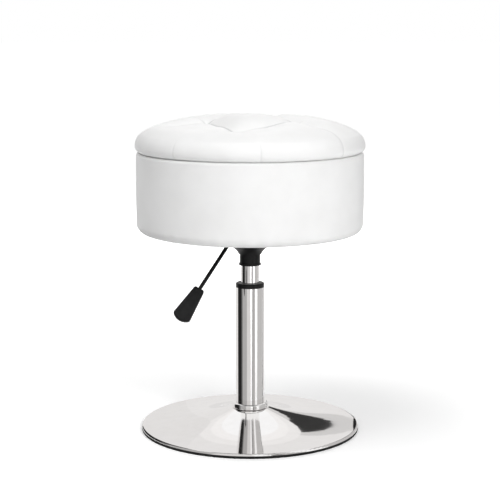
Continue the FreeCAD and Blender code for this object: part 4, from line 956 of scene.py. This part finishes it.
def make_floor():
    points = [(0, 0, 0)] + [(FLOOR_REACH * math.cos(a), FLOOR_REACH * math.sin(a), 0)
                            for a in round_angles(FLOOR_STEPS)]
    faces = [(0, 1 + k, 1 + (k + 1) % FLOOR_STEPS) for k in range(FLOOR_STEPS)]
    mesh = bpy.data.meshes.new("studio_floor")
    mesh.from_pydata(points, [], faces)
    floor = bpy.data.objects.new("studio_floor", mesh)
    floor.location.z = -FLOOR_DROP
    mesh.materials.append(floor_paint())
    bpy.context.scene.collection.objects.link(floor)


def room_light(tree):
    """Soft room light, weaker from the right."""
    facing = add(tree, "ShaderNodeVectorMath", {"operation": "DOT_PRODUCT"})
    facing.inputs[1].default_value = ROOM_AXIS
    coordinates = tree.nodes.new("ShaderNodeTexCoord")
    tree.links.new(coordinates.outputs["Generated"], facing.inputs[0])
    return spread(tree, facing.outputs["Value"], *ROOM_LIGHT, *ROOM_SPAN)


def make_world():
    world = bpy.data.worlds.new("studio")
    bpy.context.scene.world = world
    world.use_nodes = True
    tree = world.node_tree
    background = tree.nodes["Background"]
    background.inputs["Color"].default_value = (1, 1, 1, 1)
    level = tree.nodes.new("ShaderNodeMapRange")
    tree.links.new(room_light(tree), level.inputs["To Min"])
    level.inputs["To Max"].default_value = 1.0
    tree.links.new(seen_rays(tree), level.inputs["Value"])
    tree.links.new(level.outputs["Result"], background.inputs["Strength"])


def lamp(name, place_at, aim, size, watts):
    """Soft square lamp that lights the stool but isn't seen or mirrored."""
    light = bpy.data.lights.new(name, "AREA")
    light.shape = "RECTANGLE"
    light.size = light.size_y = size
    light.energy = watts
    thing = bpy.data.objects.new(name, light)
    thing.location = place_at
    thing.rotation_euler = (Vector(aim) - Vector(place_at)).to_track_quat("-Z", "Y").to_euler()
    thing.visible_camera = False
    thing.visible_glossy = False
    bpy.context.scene.collection.objects.link(thing)


def reflector(name, start, end, profile, shade):
    """Curved grey card that only mirrors see. Degrees from the camera's side, positive to the right."""
    points = []
    for angle in np.radians(np.linspace(start, end, CARD_STEPS)):
        for distance, z in profile:
            points.append((distance * math.sin(angle), -distance * math.cos(angle), z))
    rows = len(profile)
    faces = [(rows * k + j, rows * k + rows + j, rows * k + rows + j + 1, rows * k + j + 1)
             for k in range(CARD_STEPS - 1) for j in range(rows - 1)]
    mesh = bpy.data.meshes.new(name)
    mesh.from_pydata(points, [], faces)
    material, _, shader = new_material(name)
    shader.inputs["Base Color"].default_value = (0, 0, 0, 1)
    shader.inputs["Specular IOR Level"].default_value = 0
    shader.inputs["Emission Color"].default_value = (*(shade * tone for tone in CARD_TONE), 1)
    shader.inputs["Emission Strength"].default_value = 1
    mesh.materials.append(material)
    card = bpy.data.objects.new(name, mesh)
    card.visible_camera = False
    card.visible_diffuse = False
    card.visible_shadow = False
    card.visible_transmission = False
    bpy.context.scene.collection.objects.link(card)


def make_camera():
    data = bpy.data.cameras.new("camera")
    data.sensor_width = SENSOR
    data.lens = LENS
    data.clip_end = 100
    camera = bpy.data.objects.new("camera", data)
    camera.location = CAMERA_PLACE
    camera.rotation_euler = (math.radians(90 - CAMERA_PITCH), 0, 0)
    bpy.context.scene.collection.objects.link(camera)
    bpy.context.scene.camera = camera


# Name, place, point that it faces, size and power
LAMPS = (
    ("key", (1.25, -2.35, 1.55), (0, 0, 0.4), 1.3, 50),
    ("top", (-0.6, -0.5, 2.5), (0, 0, 0.5), 1.2, 21),
    ("back", (0.3, 2.6, 1.5), (0, 0, 0.4), 1.4, 36),
)
# Distance from the axis and height along each card
NEAR_CARD = ((0.205, 0.001), (0.25, 0.001), (0.25, 0.34))
BACK_CARD = ((2.3, 0.001), (2.3, 1.25))
LOW_FADE = ((2.3, 1.25), (2.3, 1.5))
HIGH_FADE = ((2.3, 1.5), (2.3, 1.8))
BACK_FLOOR = ((0.26, 0.001), (2.3, 0.001))
# Name, degrees from and to, form and shade
CARDS = (
    ("left_rim", -150, -110, NEAR_CARD, 0.8),
    ("left_dark", -110, -70, NEAR_CARD, 0.02),
    ("left_shade", -70, -60, NEAR_CARD, 0.15),
    ("left_grey", -60, -24, NEAR_CARD, 0.44),
    ("front_soft", -24, 4, NEAR_CARD, 0.72),
    ("front_line", 17, 24, NEAR_CARD, 0.26),
    ("front_grey", 24, 40, NEAR_CARD, 0.48),
    ("right_grey", 58, 116, NEAR_CARD, 0.55),
    ("right_dark", 120, 128, NEAR_CARD, 0.02),
    ("back_right", 134, 165.8, BACK_CARD, 0.68),
    ("back_dark", 165.8, 169.8, BACK_CARD, 0.04),
    ("back_grey", 171, 215, BACK_CARD, 0.83),
    ("dark_edge", 169.8, 171, BACK_CARD, 0.66),
    ("low_fade", 152, 215, LOW_FADE, 0.89),
    ("high_fade", 152, 215, HIGH_FADE, 0.95),
    ("back_floor", 134, 215, BACK_FLOOR, 0.76),
)
make_floor()
make_world()
make_camera()
for row in LAMPS:
    lamp(*row)
for row in CARDS:
    reflector(*row)
bpy.context.scene.view_settings.view_transform = "Standard"
